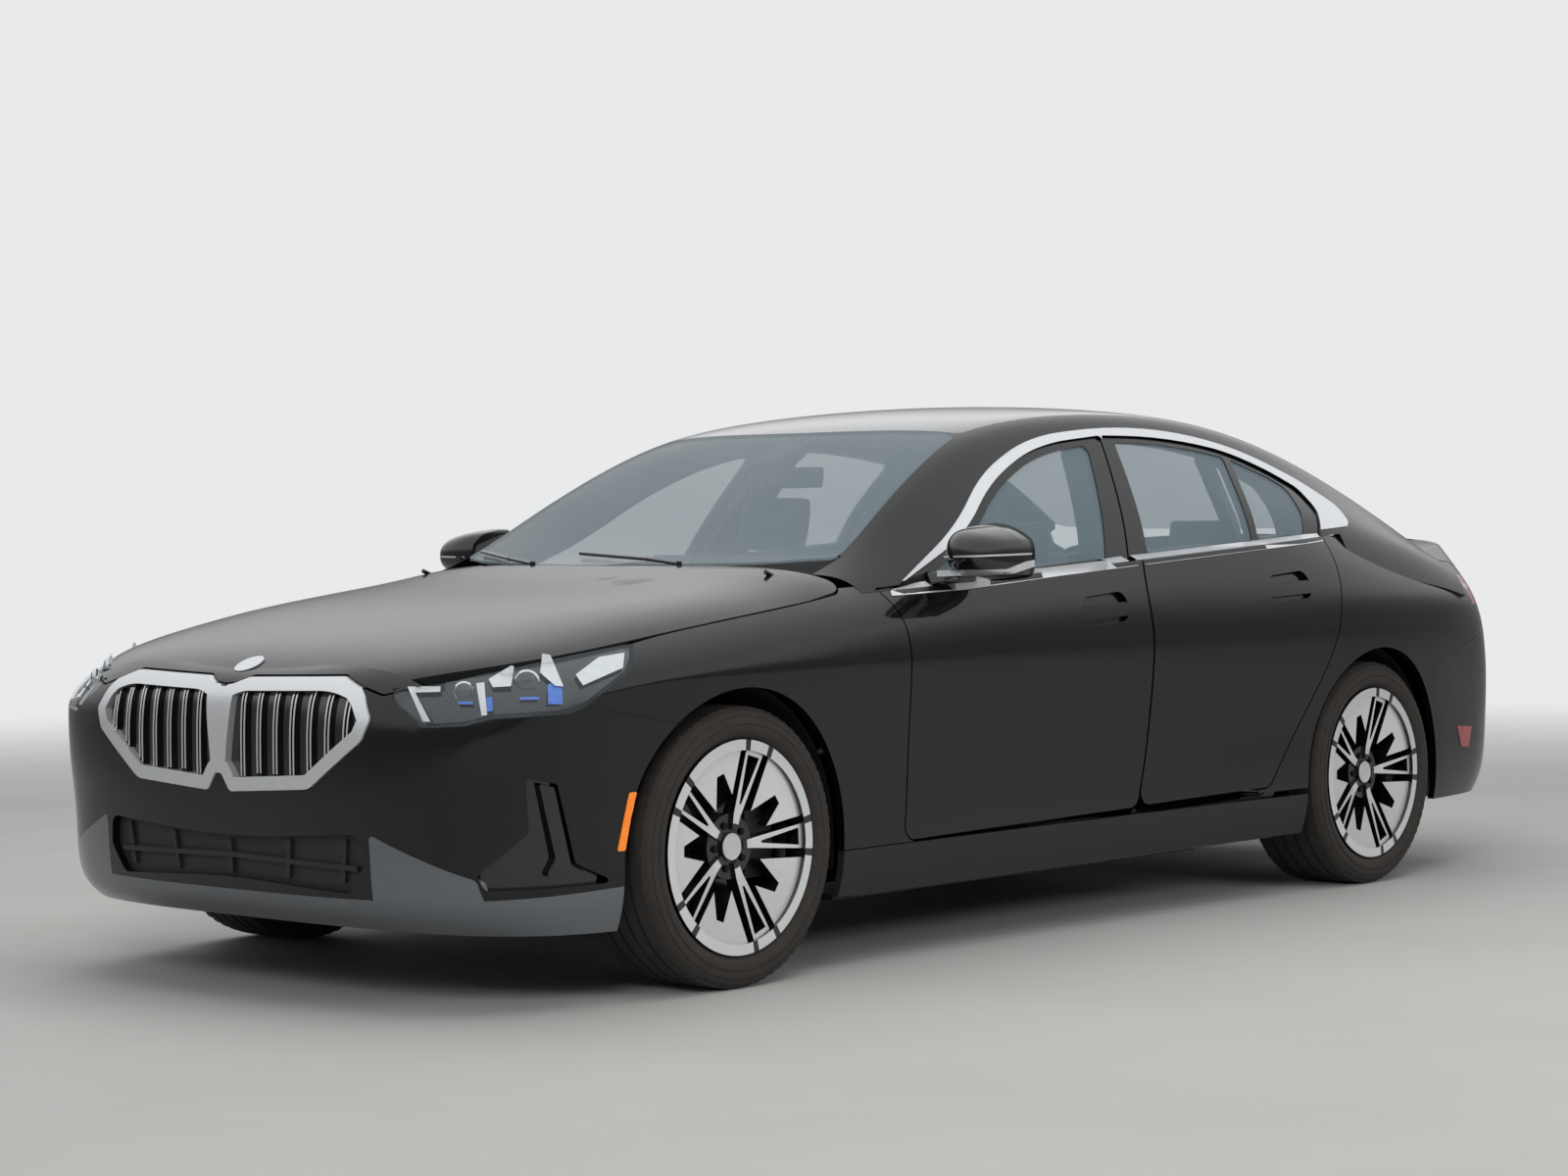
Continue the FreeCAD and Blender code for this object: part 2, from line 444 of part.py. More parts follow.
def surface(net, degree_u=CUBIC, degree_v=CUBIC):
    """A spline surface over a net of poles, given as a list of columns."""
    u_knots, u_mults = knots_of(len(net), degree_u)
    v_knots, v_mults = knots_of(len(net[0]), degree_v)
    made = Part.BSplineSurface()
    made.buildFromPolesMultsKnots(net, u_mults, v_mults, u_knots, v_knots, False, False, degree_u, degree_v)
    return made


def moved_along_normals(net, distance):
    """The net with each pole moved along the local normal of the net."""
    columns, rows = len(net), len(net[0])
    moved = []
    for i in range(columns):
        column = []
        for j in range(rows):
            along = net[min(i + 1, columns - 1)][j] - net[max(i - 1, 0)][j]
            across = net[i][min(j + 1, rows - 1)] - net[i][max(j - 1, 0)]
            normal = along.cross(across)
            normal.normalize()
            column.append(net[i][j] + normal * distance)
        moved.append(column)
    return moved


def slab(net, outer, inner):
    """A closed solid between two surfaces offset from the net's own, both distances along its normals."""
    top, low = moved_along_normals(net, outer), moved_along_normals(net, inner)
    faces = [surface(top).toShape(), surface(low).toShape()]
    borders = [
        ([c[0] for c in top], [c[0] for c in low]),
        ([c[-1] for c in top], [c[-1] for c in low]),
        (top[0], low[0]),
        (top[-1], low[-1]),
    ]
    for upper, lower in borders:
        faces.append(surface([list(pair) for pair in zip(upper, lower)], CUBIC, 1).toShape())
    return solid_of(faces)


def solid_of(faces):
    """The one solid of a shape."""
    shell = Part.makeShell(faces)
    shell.sewShape()
    solid = Part.makeSolid(shell)
    if solid.Volume < 0:
        solid.reverse()
    return solid


def rounded(points, radius=0.0):
    """A closed wire through the points, with each corner rounded. A point may give its own radius last."""
    count = len(points)
    corners = []
    for i, point in enumerate(points):
        at, r = Vector(*point[:3]), (point[3] if len(point) > 3 else radius)
        before, after = Vector(*points[i - 1][:3]), Vector(*points[(i + 1) % count][:3])
        a, b = (before - at), (after - at)
        half = a.getAngle(b) / 2
        reach = r / math.tan(half) if r > 0 and half < math.pi / 2 - 0.01 else 0.0
        reach = min(reach, a.Length * 0.49, b.Length * 0.49)
        a.normalize()
        b.normalize()
        if reach < 0.01:
            corners.append((at, at, at))
            continue
        bulge = reach * math.tan(half)
        middle = a + b
        middle.normalize()
        centre = at + middle * (bulge / math.sin(half))
        corners.append((at + a * reach, centre - middle * bulge, at + b * reach))
    edges = []
    for i in range(count):
        start, mid, end = corners[i]
        if (end - start).Length > 0.01:
            edges.append(Part.Arc(start, mid, end).toShape())
        nxt = corners[(i + 1) % count][0]
        if (nxt - end).Length > 0.01:
            edges.append(Part.LineSegment(end, nxt).toShape())
    return Part.Wire(edges)


def side_prism(points, radius, y_from, y_to):
    """A block whose outline lies in the side view, in grid steps, between two distances from the middle."""
    wire = rounded([(p[0] * GX, y_from, p[1] * GZ, *[q * GX for q in p[2:]]) for p in points], radius)
    return Part.Face(wire).extrude(V(0, y_to - y_from, 0))


def box(x0, x1, y0, y1, z0, z1):
    """A box between two corners."""
    return Part.makeBox(x1 - x0, y1 - y0, z1 - z0, V(x0, y0, z0))


def cylinder_y(radius, x, z, y0, y1):
    """A cylinder that lies across the car."""
    return Part.makeCylinder(radius, y1 - y0, V(x, y0, z), V(0, 1, 0))


def mirrored(shape):
    """The shape on the other side of the car."""
    return shape.mirror(V(0, 0, 0), V(0, 1, 0))


def pair(shape):
    """The shape and its mirror image, as solids of one piece."""
    return Part.makeCompound(list(shape.Solids) + list(mirrored(shape).Solids))


# The lower body: plan and section tables on the body grid


def side_column(k):
    """The poles of one section of the side, on the right, from the sill up to the top edge."""
    x, width = SIDE_X_SHARES[k], SIDE_WIDTH_SHARES[k]
    column = [(x, y * width, z) for y, z in SECTION_SHARES]
    column[-1] = (x, column[-1][1], SHOULDER_Z_SHARES[k])
    column.append((x, FENDER_Y_SHARES[k], FENDER_Z_SHARES[k]))
    column.append((x, EDGE_Y_SHARES[k], EDGE_Z_SHARES[k]))
    return column


def end_columns(profile, plan, blend, direction, side, top_rows):
    """The poles of the sections that wrap an end, from its middle to the side."""
    columns = []
    for (setback, across), mix in zip(plan, blend):
        column = []
        for (x, z), (_, side_y, side_z) in zip(profile, side):
            width = across * ((1 - mix) + mix * side_y / side[4][1])
            column.append((x - direction * setback, width, z + mix * (side_z - z)))
        columns.append(column)
    for column, brow, top in zip(columns, *top_rows):
        column[-2:] = [brow, top]
    return columns


SIDE = [side_column(k) for k in range(len(SIDE_X_SHARES))]
NOSE = end_columns(NOSE_SHARES, NOSE_PLAN_SHARES, NOSE_BLEND_SHARES, -1, SIDE[0], (NOSE_BROW_SHARES, NOSE_TOP_SHARES))
TAIL = end_columns(TAIL_SHARES, TAIL_PLAN_SHARES, TAIL_BLEND_SHARES, 1, SIDE[-1], (TAIL_BROW_SHARES, TAIL_TOP_SHARES))
HALF_LOOP = NOSE + SIDE + list(reversed(TAIL))


def loop_net(first, last):
    """Poles of the right side between two columns of the half loop, from the tail forwards."""
    return [[grid(p) for p in column] for column in reversed(HALF_LOOP[first:last + 1])]


def end_net(columns):
    """Poles that wrap an end from the left side round to the right."""
    left = [[(x, -y, z) for x, y, z in column] for column in reversed(columns[1:])]
    return [[grid(p) for p in column] for column in left + columns]


def nose_net():
    """Poles round the nose, from the right side to the left."""
    return list(reversed(end_net(HALF_LOOP[:NOSE_REACH])))


def tail_net():
    """Poles round the tail, from the left side to the right."""
    return end_net(list(reversed(HALF_LOOP))[:TAIL_REACH])


# The greenhouse: rows from below the belt up to the middle of the roof, columns from cowl to deck


def greenhouse_net():
    """Poles of the whole greenhouse, from the right belt over the roof to the left belt."""
    columns = []
    for k in reversed(range(len(GREENHOUSE_SHARES[0]))):
        right = [row[k] for row in GREENHOUSE_SHARES]
        left = [(x, -y, z) for x, y, z in reversed(right[:-1])]
        columns.append([grid(p) for p in right + left])
    return columns


def greenhouse_half_net():
    """Poles of the right side of the greenhouse, carried a little past the middle."""
    columns = []
    for k in reversed(range(len(GREENHOUSE_SHARES[0]))):
        right = [row[k] for row in GREENHOUSE_SHARES]
        past = [(x, -y, z) for x, y, z in reversed(right[3:-1])]
        columns.append([grid(p) for p in right + past])
    return columns


# Outlines of doors and windows in the side view. A third value is the corner's own radius


def belt_z(x):
    """Height of the belt line over a place along the car, both in grid steps."""
    return BELT_Z_SHARE + BELT_RISE_SHARE * x


def grown(wire_points, margin, low, high):
    """A block of a side outline grown by a margin, between two distances from the middle."""
    wire = rounded([(p[0] * GX, low, p[1] * GZ, *[q * GX for q in p[2:]]) for p in wire_points], SMOOTH * GX)
    if abs(margin) > 0:
        wire = wire.makeOffset2D(margin)
    return Part.Face(wire).extrude(V(0, high - low, 0))


# Shared blocks and slabs


def side_slab(outer, inner):
    """The layer of the side skin between two depths."""
    return slab(loop_net(SIDE_FIRST, SIDE_LAST), outer, inner)


def nose_slab(outer, inner):
    """The layer of the nose skin between two depths."""
    return slab(nose_net(), outer, inner)


def tail_slab(outer, inner):
    """The layer of the tail skin between two depths."""
    return slab(tail_net(), outer, inner)


def roof_slab(outer, inner):
    """The layer of the roof skin between two depths."""
    return slab(greenhouse_net(), outer, inner)


def roof_side_slab(outer, inner):
    """The layer of the skin beside the roof between two depths."""
    return slab(greenhouse_half_net(), outer, inner)


def side_block(shares, margin=0.0):
    """A side outline as a block on the right half of the car, grown by a margin."""
    return grown(shares, margin, GY, HALF_Y)


def below_belt(drop=0.0):
    """Everything under the belt line, lowered by a distance."""
    low, high = UP_SHARES
    corners = [(low, belt_z(low)), (high, belt_z(high)), (high, 0.0), (low, 0.0)]
    return side_prism(corners, 0.0, -HALF_Y, HALF_Y).translate(V(0, 0, -drop))


def region(points, y_from=0.0, y_to=HALF_Y):
    """A straight-sided region of the side view on the right half."""
    return side_prism(points, 0.0, y_from, y_to)


def plan_region(points, margin=0.0):
    """A straight-sided region of the plan, through the whole height."""
    wire = rounded([(p[0] * GX, p[1] * GY, 0.0, *[q * GX for q in p[2:]]) for p in points], SMOOTH * GX)
    if abs(margin) > 0:
        wire = wire.makeOffset2D(margin)
    return Part.Face(wire).extrude(V(0, 0, HEIGHT + OVERRUN))


def arch(axle_x, radius, y_from, y_to):
    """The round space of a wheel arch, open below."""
    space = cylinder_y(radius, axle_x, TYRE_RADIUS, y_from, y_to)
    legs = box(axle_x - radius, axle_x + radius, y_from, y_to, -OVERRUN, TYRE_RADIUS)
    return space.fuse(legs)


ARCHES = arch(FRONT_AXLE_X, ARCH_RADIUS, 0.0, HALF_Y).fuse(arch(REAR_AXLE_X, ARCH_RADIUS, 0.0, HALF_Y))


# Doors


def hinge_pocket(hinge_x, z):
    """The space in a door's leading edge where the bracket swings."""
    x0, x1 = hinge_x - ARCH_RADIUS, hinge_x + EYE_RADIUS + POCKET_GAP
    y0, y1 = HINGE_Y_SHARE * GY - ARCH_RADIUS, HINGE_Y_SHARE * GY + EYE_RADIUS + POCKET_GAP / 2
    half = EYE_HEIGHT / 2 + POCKET_GAP
    return box(x0, x1, y0, y1, z - half, z + half)


def hinge_pin(hinge_x, z):
    """The pin of a door hinge, seated in the door above and below the pocket."""
    half = EYE_HEIGHT / 2 + POCKET_GAP + PIN_RADIUS
    return Part.makeCylinder(PIN_RADIUS, 2 * half, V(hinge_x, HINGE_Y_SHARE * GY, z - half))


def hinge_bracket(hinge_x, z):
    """The fixed half of a door hinge: an eye round the pin and an arm to the post behind the door."""
    y = HINGE_Y_SHARE * GY
    half = EYE_HEIGHT / 2
    foot_x = hinge_x - (y - POST_FACE_SHARE * GY) / 2
    foot_y = POST_FACE_SHARE * GY - ARM_THICKNESS
    eye = Part.makeCylinder(EYE_RADIUS, EYE_HEIGHT, V(hinge_x, y, z - half))
    side = V(ARM_THICKNESS / 2, 0, 0)
    start, end = V(hinge_x - PIN_RADIUS / 2, y - PIN_RADIUS, z - half), V(foot_x, foot_y, z - half)
    arm = Part.Face(Part.makePolygon([start - side, start + side, end + side, end - side, start - side]))
    bracket = eye.fuse(arm.extrude(V(0, 0, EYE_HEIGHT)))
    bore = Part.makeCylinder(PIN_RADIUS + EYE_GAP, EYE_HEIGHT + 2 * POCKET_GAP, V(hinge_x, y, z - half - POCKET_GAP))
    return bracket.cut(bore)


def handle_parts(place):
    """The recess of a flush door handle and the bar across it."""
    x, z = place
    rows = [(x + a, z + b) for a, b in HANDLE_SHARES]
    recess = side_slab(OVERRUN, -HANDLE_DEPTH).common(side_block(rows))
    low, high = z + HANDLE_BAR_INSET_SHARE, z + 1.0 - 2 * HANDLE_BAR_INSET_SHARE
    length = HANDLE_SHARES[3][0]
    bar_rows = [(x + 0.0, low), (x + 0.0, high), (x + length, high + 0.1), (x + length, low + 0.1)]
    bar = side_slab(0.0, -HANDLE_DEPTH / 2).common(side_block(bar_rows))
    return recess, bar


def door(outline, windows, hinge_x, handle, neighbour=None):
    """A right door: the thick lower panel, the slim window frame, its handle, and the pins of its hinges."""
    outer = side_block(outline)
    low = side_slab(0.0, -DOOR_THICKNESS).common(outer).common(below_belt())
    frame = roof_side_slab(FRAME_OUT, FRAME_IN).common(outer).cut(below_belt(PANEL))
    shell = low.fuse(frame)
    for window in windows:
        shell = shell.cut(side_block(window))
    recess, bar = handle_parts(handle)
    shell = shell.cut(recess).fuse(bar)
    if neighbour is not None:
        relief = side_block(neighbour, EDGE_RELIEF)
        shell = shell.cut(side_slab(-EDGE_THICKNESS, JAMB_IN).common(relief).common(below_belt()))
    for z in HINGE_Z_SHARES:
        shell = shell.cut(hinge_pocket(hinge_x, z * GZ))
    for z in HINGE_Z_SHARES:
        shell = shell.fuse(hinge_pin(hinge_x, z * GZ))
    return shell


def door_glass(windows):
    """The panes of a right door, each a hair smaller than its opening."""
    sheet = roof_side_slab(GLASS_OUT, GLASS_IN)
    return Part.makeCompound([sheet.common(side_block(window, -SEAT_GAP)).Solids[0] for window in windows])


def mirror():
    """A right door mirror: a rounded housing on an arm from the door's front corner."""
    x0, x1 = MIRROR_X_SHARES[0] * GX, MIRROR_X_SHARES[1] * GX
    housing = []
    for share, half_y, low, high in MIRROR_SECTION_SHARES:
        x = x0 + (x1 - x0) * share
        y0, y1 = (MIRROR_Y_SHARE - half_y) * GY, (MIRROR_Y_SHARE + half_y) * GY
        corners = [(x, y0, low * GZ), (x, y1, low * GZ), (x, y1, high * GZ), (x, y0, high * GZ)]
        housing.append(rounded(corners, MIRROR_CORNER_SHARE * GY))
    shape = Part.makeLoft(housing, True)
    shape = shape.fuse(grid_box(MIRROR_ARM_SHARES))
    shape = shape.cut(roof_side_slab(SEAT_GAP, PILLAR_IN)).cut(side_slab(SEAT_GAP, JAMB_IN))
    return max(shape.Solids, key=lambda solid: solid.Volume)


# Body sides, fenders and quarters


def nose_region(margin):
    """The space in front of the doors that the nose panels are cut from."""
    return bumper_region(NOSE_REGION_SHARES, margin)


def bumper_region(points, margin):
    """The stretch of the skin that a bumper takes, in the side view, grown by a margin."""
    wire = Part.makePolygon([V(x * GX, -HALF_Y, z * GZ) for x, z in [*points, points[0]]])
    if abs(margin) > 0:
        wire = wire.makeOffset2D(margin)
    return Part.Face(wire).extrude(V(0, 2 * HALF_Y, 0))


def whole(points):
    """A plan outline given from the middle to the right and back, carried round the left."""
    return list(points) + [(p[0], -p[1], *p[2:]) for p in reversed(points[1:-1])]


def above_bonnet_edge(margin):
    """Everything above the front edge of the bonnet, as seen from the front."""
    rows = [(-LENGTH, p[0] * GY, p[1] * GZ) for p in across(BONNET_FRONT_SHARES)]
    wire = rounded(rows, SMOOTH)
    if abs(margin) > 0:
        wire = wire.makeOffset2D(margin)
    return Part.Face(wire).extrude(V(LENGTH, 0, 0))


def bonnet_space(margin):
    """The space of the bonnet: its plan outline, above its front edge."""
    return plan_region(whole(BONNET_SHARES), margin).common(above_bonnet_edge(margin))


def boot_space(margin):
    """The space of the boot lid's deck: its plan outline above the shoulder line."""
    low = BOOT_RAIL_Z_SHARE * GZ - margin
    return plan_region(whole(BOOT_SHARES), margin).common(box(0, LENGTH, -HALF_Y, HALF_Y, low, 2 * HEIGHT))


def post(shares):
    """An upright round post."""
    x0, x1, z0, z1, lean = shares
    y0, y1 = POST_IN_SHARE * GY, POST_FACE_SHARE * GY
    corners = [(x0, z0), (x1, z0), (x1 + lean, z1), (x0 + lean, z1)]
    return side_prism(corners, 0.0, y0, y1)


def grid_box(shares):
    """A box between places given in grid steps."""
    scale = (GX, GX, GY, GY, GZ, GZ)
    return box(*[s * g for s, g in zip(shares, scale)])


def side_frame():
    """The right body side: sill, posts, pillars and roof rail in one welded piece."""
    doors = [FRONT_DOOR_SHARES, REAR_DOOR_SHARES]
    upper = roof_side_slab(-0.0, PILLAR_IN)
    upper = upper.cut(below_belt(-SEAT_GAP)).common(box(-HALF_Y * 2, REAR_SPLIT_X_SHARE * GX, 0.0, HALF_Y, 0.0, HEIGHT * 2))
    space = roof_side_slab(OVERRUN, PILLAR_OUT)
    for outline in doors:
        upper = upper.cut(space.common(side_block(outline, SHUT_GAP)))
    for window in (FRONT_WINDOW_SHARES, REAR_WINDOW_SHARES, QUARTER_WINDOW_SHARES):
        upper = upper.cut(side_block(window))
    for outline in (SCREEN_SHARES, ROOF_SHARES, REAR_SCREEN_SHARES):
        upper = upper.cut(plan_region(whole(outline), SEAT_GAP))
    upper = upper.cut(grid_box(COWL_SPACE_SHARES))
    jamb = side_slab(JAMB_OUT, JAMB_IN)
    ring = side_block(doors[0], JAMB_BAND).fuse(side_block(doors[1], JAMB_BAND))
    hole = side_block(doors[0], JAMB_RELIEF).fuse(side_block(doors[1], JAMB_RELIEF))
    jamb = jamb.common(ring).cut(hole).common(below_belt(-PANEL)).cut(bonnet_space(SHUT_GAP))
    frame = upper.fuse(jamb).cut(arch(REAR_AXLE_X, LINER_RADIUS + LINER_WALL + SEAT_GAP, 0.0, HALF_Y))
    posts = post(FRONT_POST_SHARES).fuse(post(MIDDLE_POST_SHARES))
    for hinge_x in (FRONT_HINGE_X_SHARE * GX, REAR_HINGE_X_SHARE * GX):
        for (z0, z1), radius in ((SWEEP_LOW_SHARES, SWEEP_LOW_RADIUS), (SWEEP_HIGH_SHARES, SWEEP_HIGH_RADIUS)):
            tool = Part.makeCylinder(radius, (z1 - z0) * GZ, V(hinge_x, HINGE_Y_SHARE * GY, z0 * GZ))
            posts = posts.cut(tool)
        z0, z1 = SWEEP_SHOULDER_SHARES
        tool = Part.makeCylinder(SWEEP_HIGH_RADIUS, (z1 - z0) * GZ, V(hinge_x, HINGE_Y_SHARE * GY, z0 * GZ))
        inner = box(hinge_x - HALF_Y, hinge_x + HALF_Y, 0.0, POST_FACE_SHARE * GY + PANEL, 0.0, HEIGHT)
        frame = frame.cut(tool.common(inner))
    frame = frame.fuse(posts).fuse(grid_box(SILL_BEAM_SHARES))
    for hinge_x in (FRONT_HINGE_X_SHARE * GX, REAR_HINGE_X_SHARE * GX):
        for z in HINGE_Z_SHARES:
            frame = frame.fuse(hinge_bracket(hinge_x, z * GZ))
    return frame


def relief_of(outline):
    """The set-back behind the thin edge of a panel that faces a door."""
    return side_slab(-EDGE_THICKNESS, JAMB_OUT - OVERRUN).common(side_block(outline, EDGE_RELIEF))


def front_fender():
    """The left front fender."""
    panel = nose_slab(0.0, -PANEL).common(region(FENDER_SHARES)).cut(nose_region(SEAM))
    panel = panel.cut(side_block(FRONT_DOOR_SHARES, SHUT_GAP)).cut(ARCHES)
    panel = panel.cut(bonnet_space(SHUT_GAP)).cut(relief_of(FRONT_DOOR_SHARES))
    panel = panel.cut(region([(-9.4, 0.0), (0.0, 0.0), (0.0, 16.0), (-9.4, 16.0)]))
    panel = panel.cut(region([(PILLAR_FOOT_SHARE, belt_z(PILLAR_FOOT_SHARE)), (0.0, belt_z(0.0)), (0.0, 16.0), (PILLAR_FOOT_SHARE, 16.0)]))
    panel = panel.cut(grid_box(SKIRT_SPACE_SHARES)).cut(headlamp_space(SEAT_GAP))
    return largest(panel.Solids, 1)[0]


def headlamp_space(margin):
    """The space of a right headlamp, seen along the diagonal of the nose corner."""
    return diagonal_block(HEADLAMP_OUTLINE_SHARES, margin)


def rear_quarter():
    """The left rear quarter panel."""
    skin = tail_slab(0.0, -PANEL).common(region(QUARTER_SHARES)).cut(bumper_region(TAIL_REGION_SHARES, SEAM))
    skin = skin.cut(side_block(REAR_DOOR_SHARES, SHUT_GAP)).cut(ARCHES)
    skin = skin.cut(boot_space(SHUT_GAP)).cut(boot_face_block(SHUT_GAP)).cut(tail_lamp_space(SEAT_GAP))
    skin = skin.cut(relief_of(REAR_DOOR_SHARES))
    skin = skin.cut(region(above_belt_points()))
    pillar = roof_side_slab(0.0, -PANEL).cut(box(-HALF_Y * 2, REAR_SPLIT_X_SHARE * GX, 0.0, HALF_Y, 0.0, HEIGHT * 2))
    pillar = pillar.cut(plan_region(whole(REAR_SCREEN_SHARES), SEAT_GAP)).cut(boot_space(SHUT_GAP))
    pillar = pillar.cut(plan_region(DECK_GAP_SHARES))
    return skin.fuse(pillar.common(box(0.0, HALF_Y * 2, GY, HALF_Y, 0.0, HEIGHT * 2)))


def above_belt_points():
    """The side view above the belt line, ahead of the split in the rear pillar."""
    x0, x1, top = REAR_DOOR_SHARES[0][0], REAR_SPLIT_X_SHARE, HEIGHT_GRID_SHARE
    return [(x0, belt_z(x0)), (x1, belt_z(x1)), (x1, top), (x0, top)]


def tail_lamp_space(margin):
    """The space of the left tail lamp."""
    wire = rounded([(0.0, p[0] * GY, p[1] * GZ, *[q * GY for q in p[2:]]) for p in TAIL_LAMP_SHARES], SMOOTH * GY)
    if abs(margin) > 0:
        wire = wire.makeOffset2D(margin)
    block = Part.Face(wire).extrude(V(HALF_Y * 2, 0, 0))
    return block.common(box(TAIL_LAMP_X_SHARE * GX - margin, HALF_Y * 2, 0.0, HALF_Y, 0.0, HEIGHT))


def surface_z(face_surface, x, y):
    """Height of a surface over a place in the plan."""
    line = Part.Line(V(x, y, 0), V(x, y, HEIGHT))
    points, _ = line.intersectCS(face_surface)
    return max(p.Z for p in points)


def interpolated_plate(rows, thickness):
    """A closed plate under a surface that passes through rows of points."""
    top = Part.BSplineSurface()
    top.interpolate(rows)
    low = [[p - V(0, 0, thickness) for p in row] for row in rows]
    under = Part.BSplineSurface()
    under.interpolate(low)
    faces = [top.toShape(), under.toShape()]
    upper, lower = faces[0].Edges, faces[1].Edges
    for a, b in zip(upper, lower):
        faces.append(Part.makeRuledSurface(a, b))
    return solid_of(faces)


def bonnet():
    """The bonnet: a crowned plate whose edges lie on the body side, with its front lip and hinge arms."""
    skin = surface(nose_net())
    steps = len(BONNET_CROWN_SHARES) - 1
    x_lip, x_end, y_end = BONNET_LIP_SHARES
    lip = []
    for k in range(-steps, steps + 1):
        x, y = (x_lip + (x_end - x_lip) * (k / steps) ** 2) * GX, y_end * GY * k / steps
        lip.append(V(x, y, surface_z(skin, x, y) - LIP_DROP))
    rows = [lip]
    for xc, zc, xe, ye in BONNET_STATION_SHARES:
        edge_z = surface_z(skin, xe * GX, ye * GY)
        row = []
        for k in range(-steps, steps + 1):
            x = (xc + (xe - xc) * (k / steps) ** 2) * GX
            z = edge_z + (zc * GZ - edge_z) * BONNET_CROWN_SHARES[abs(k)]
            row.append(V(x, ye * GY * k / steps, z))
        rows.append(row)
    space = bonnet_space(0.0)
    plate = interpolated_plate(rows, PANEL).common(space)
    front = nose_slab(0.0, -PANEL).common(space).common(box(-LENGTH, (x_end + BONNET_LAP_SHARE) * GX, -HALF_Y, HALF_Y, 0.0, HEIGHT))
    swing = bonnet_arm()
    return fused([plate, front, swing, mirrored(swing)])


def edge_point(curve, origin, normal):
    """Where the free edge of a skin crosses a plane, on the right side."""
    points, _ = Part.Plane(origin, normal).intersect(curve)
    return max(points, key=lambda point: point.Y)


def boot_lid():
    """The boot lid: the deck between the rear shoulders and the face between the lamps."""
    skin = surface(tail_net())
    edge = skin.vIso(skin.bounds()[3])
    rows = []
    steps = len(CROWN_SHARES) - 1
    for xc, zc, xe in BOOT_STATION_SHARES:
        point = edge_point(edge, V(xe * GX, 0, 0), V(1, 0, 0))
        row = []
        for k in range(-steps, steps + 1):
            v = abs(k) / steps
            x = (xc + (xe - xc) * v * v) * GX
            row.append(V(x, point.Y * k / steps, point.Z + (zc * GZ - point.Z) * CROWN_SHARES[abs(k)]))
        rows.append(row)
    low, high = skin.bounds()[:2]
    lip = []
    for k in range(-steps, steps + 1):
        lip.append(edge.value((low + high) / 2 + k / steps * LIP_REACH_SHARE))
    rows.append(lip)
    deck = interpolated_plate(rows, PANEL).common(boot_space(0.0))
    lid = tail_slab(0.0, -PANEL).common(boot_space(0.0).fuse(boot_face_block(0.0)))
    swing = boot_arm()
    return fused([lid, deck, swing, mirrored(swing)])


# Roof and screens

def windscreen():
    """The windscreen."""
    return roof_slab(0.0, -SCREEN_THICKNESS).common(plan_region(whole(SCREEN_SHARES), -SEAT_GAP))


def rear_window():
    """The rear window."""
    return roof_slab(0.0, -SCREEN_THICKNESS).common(plan_region(whole(REAR_SCREEN_SHARES), -SEAT_GAP))


def roof_panel():
    """The glazed roof panel."""
    return roof_slab(0.0, -PANEL).common(plan_region(whole(ROOF_SHARES), -SEAT_GAP))


# Nose: bumper, grille surround, bars, lower grille and headlamps


def front_block(points, margin=0.0, x_from=-30.0, x_to=NOSE_BACK_X_SHARE):
    """A front-view outline as a block along the car, grown by a margin."""
    rows = [(x_from * GX, p[0] * GY, p[1] * GZ, *[q * GY for q in p[2:]]) for p in points]
    wire = rounded(rows, SMOOTH * GY)
    if abs(margin) > 0:
        wire = wire.makeOffset2D(margin)
    return Part.Face(wire).extrude(V((x_to - x_from) * GX, 0, 0))


def across(points):
    """A front-view outline given from the middle to the right, carried round the left."""
    return list(points) + [(-p[0], p[1], *p[2:]) for p in reversed(points) if p[0] > 0]


def kidney_block(margin):
    """The space of the grille: both openings, the frame round them and the bar between them."""
    return front_block(across(KIDNEY_SHARES), margin)


def kidney_openings(margin):
    """The two openings of the grille inside its frame, either side of the centre bar."""
    block = front_block(across(KIDNEY_SHARES), -KIDNEY_RIM - margin)
    block = block.cut(front_block(across(CENTRE_BAR_SHARES), margin))
    brow = [(p[0], p[1] - BROW_DROP_SHARE) for p in BONNET_FRONT_SHARES[:-2]]
    brow = [*brow, (brow[-1][0], 0.0), (0.0, 0.0)]
    return block.common(front_block(across(brow), -margin))


def diagonal_block(points, margin=0.0):
    """A block whose outline is seen along the diagonal of the nose corner, on the right."""
    along = V(1, 1, 0)
    along.normalize()
    inward = V(1, -1, 0)
    inward.normalize()
    base = V(HEADLAMP_CORNER_SHARES[0] * GX, HEADLAMP_CORNER_SHARES[1] * GY, 0) - inward * HALF_Y / 2
    rows = []
    for s, z, *radius in points:
        spot = base + along * (s * GX) + V(0, 0, z * GZ)
        rows.append((spot.x, spot.y, spot.z, *[r * GX for r in radius]))
    wire = rounded(rows, SMOOTH)
    if abs(margin) > 0:
        wire = wire.makeOffset2D(margin)
    return Part.Face(wire).extrude(inward * HALF_Y)


def lip_space(margin):
    """The band round the foot of the nose, with the two corner panels that stand on it."""
    low = bumper_region(LIP_BAND_SHARES, margin)
    corner = front_block(CORNER_PANEL_SHARES, margin)
    return low.fuse(corner).fuse(mirrored(corner))


def front_lip():
    """The satin lip under the bumper, with its corner panels."""
    band = nose_slab(0.0, -PANEL).common(nose_region(0.0)).common(lip_space(0.0))
    band = band.cut(arch(FRONT_AXLE_X, ARCH_RADIUS, -HALF_Y, HALF_Y)).cut(front_block(across(LOWER_INTAKE_SHARES), SEAM))
    return fused(largest(band.Solids, 1))


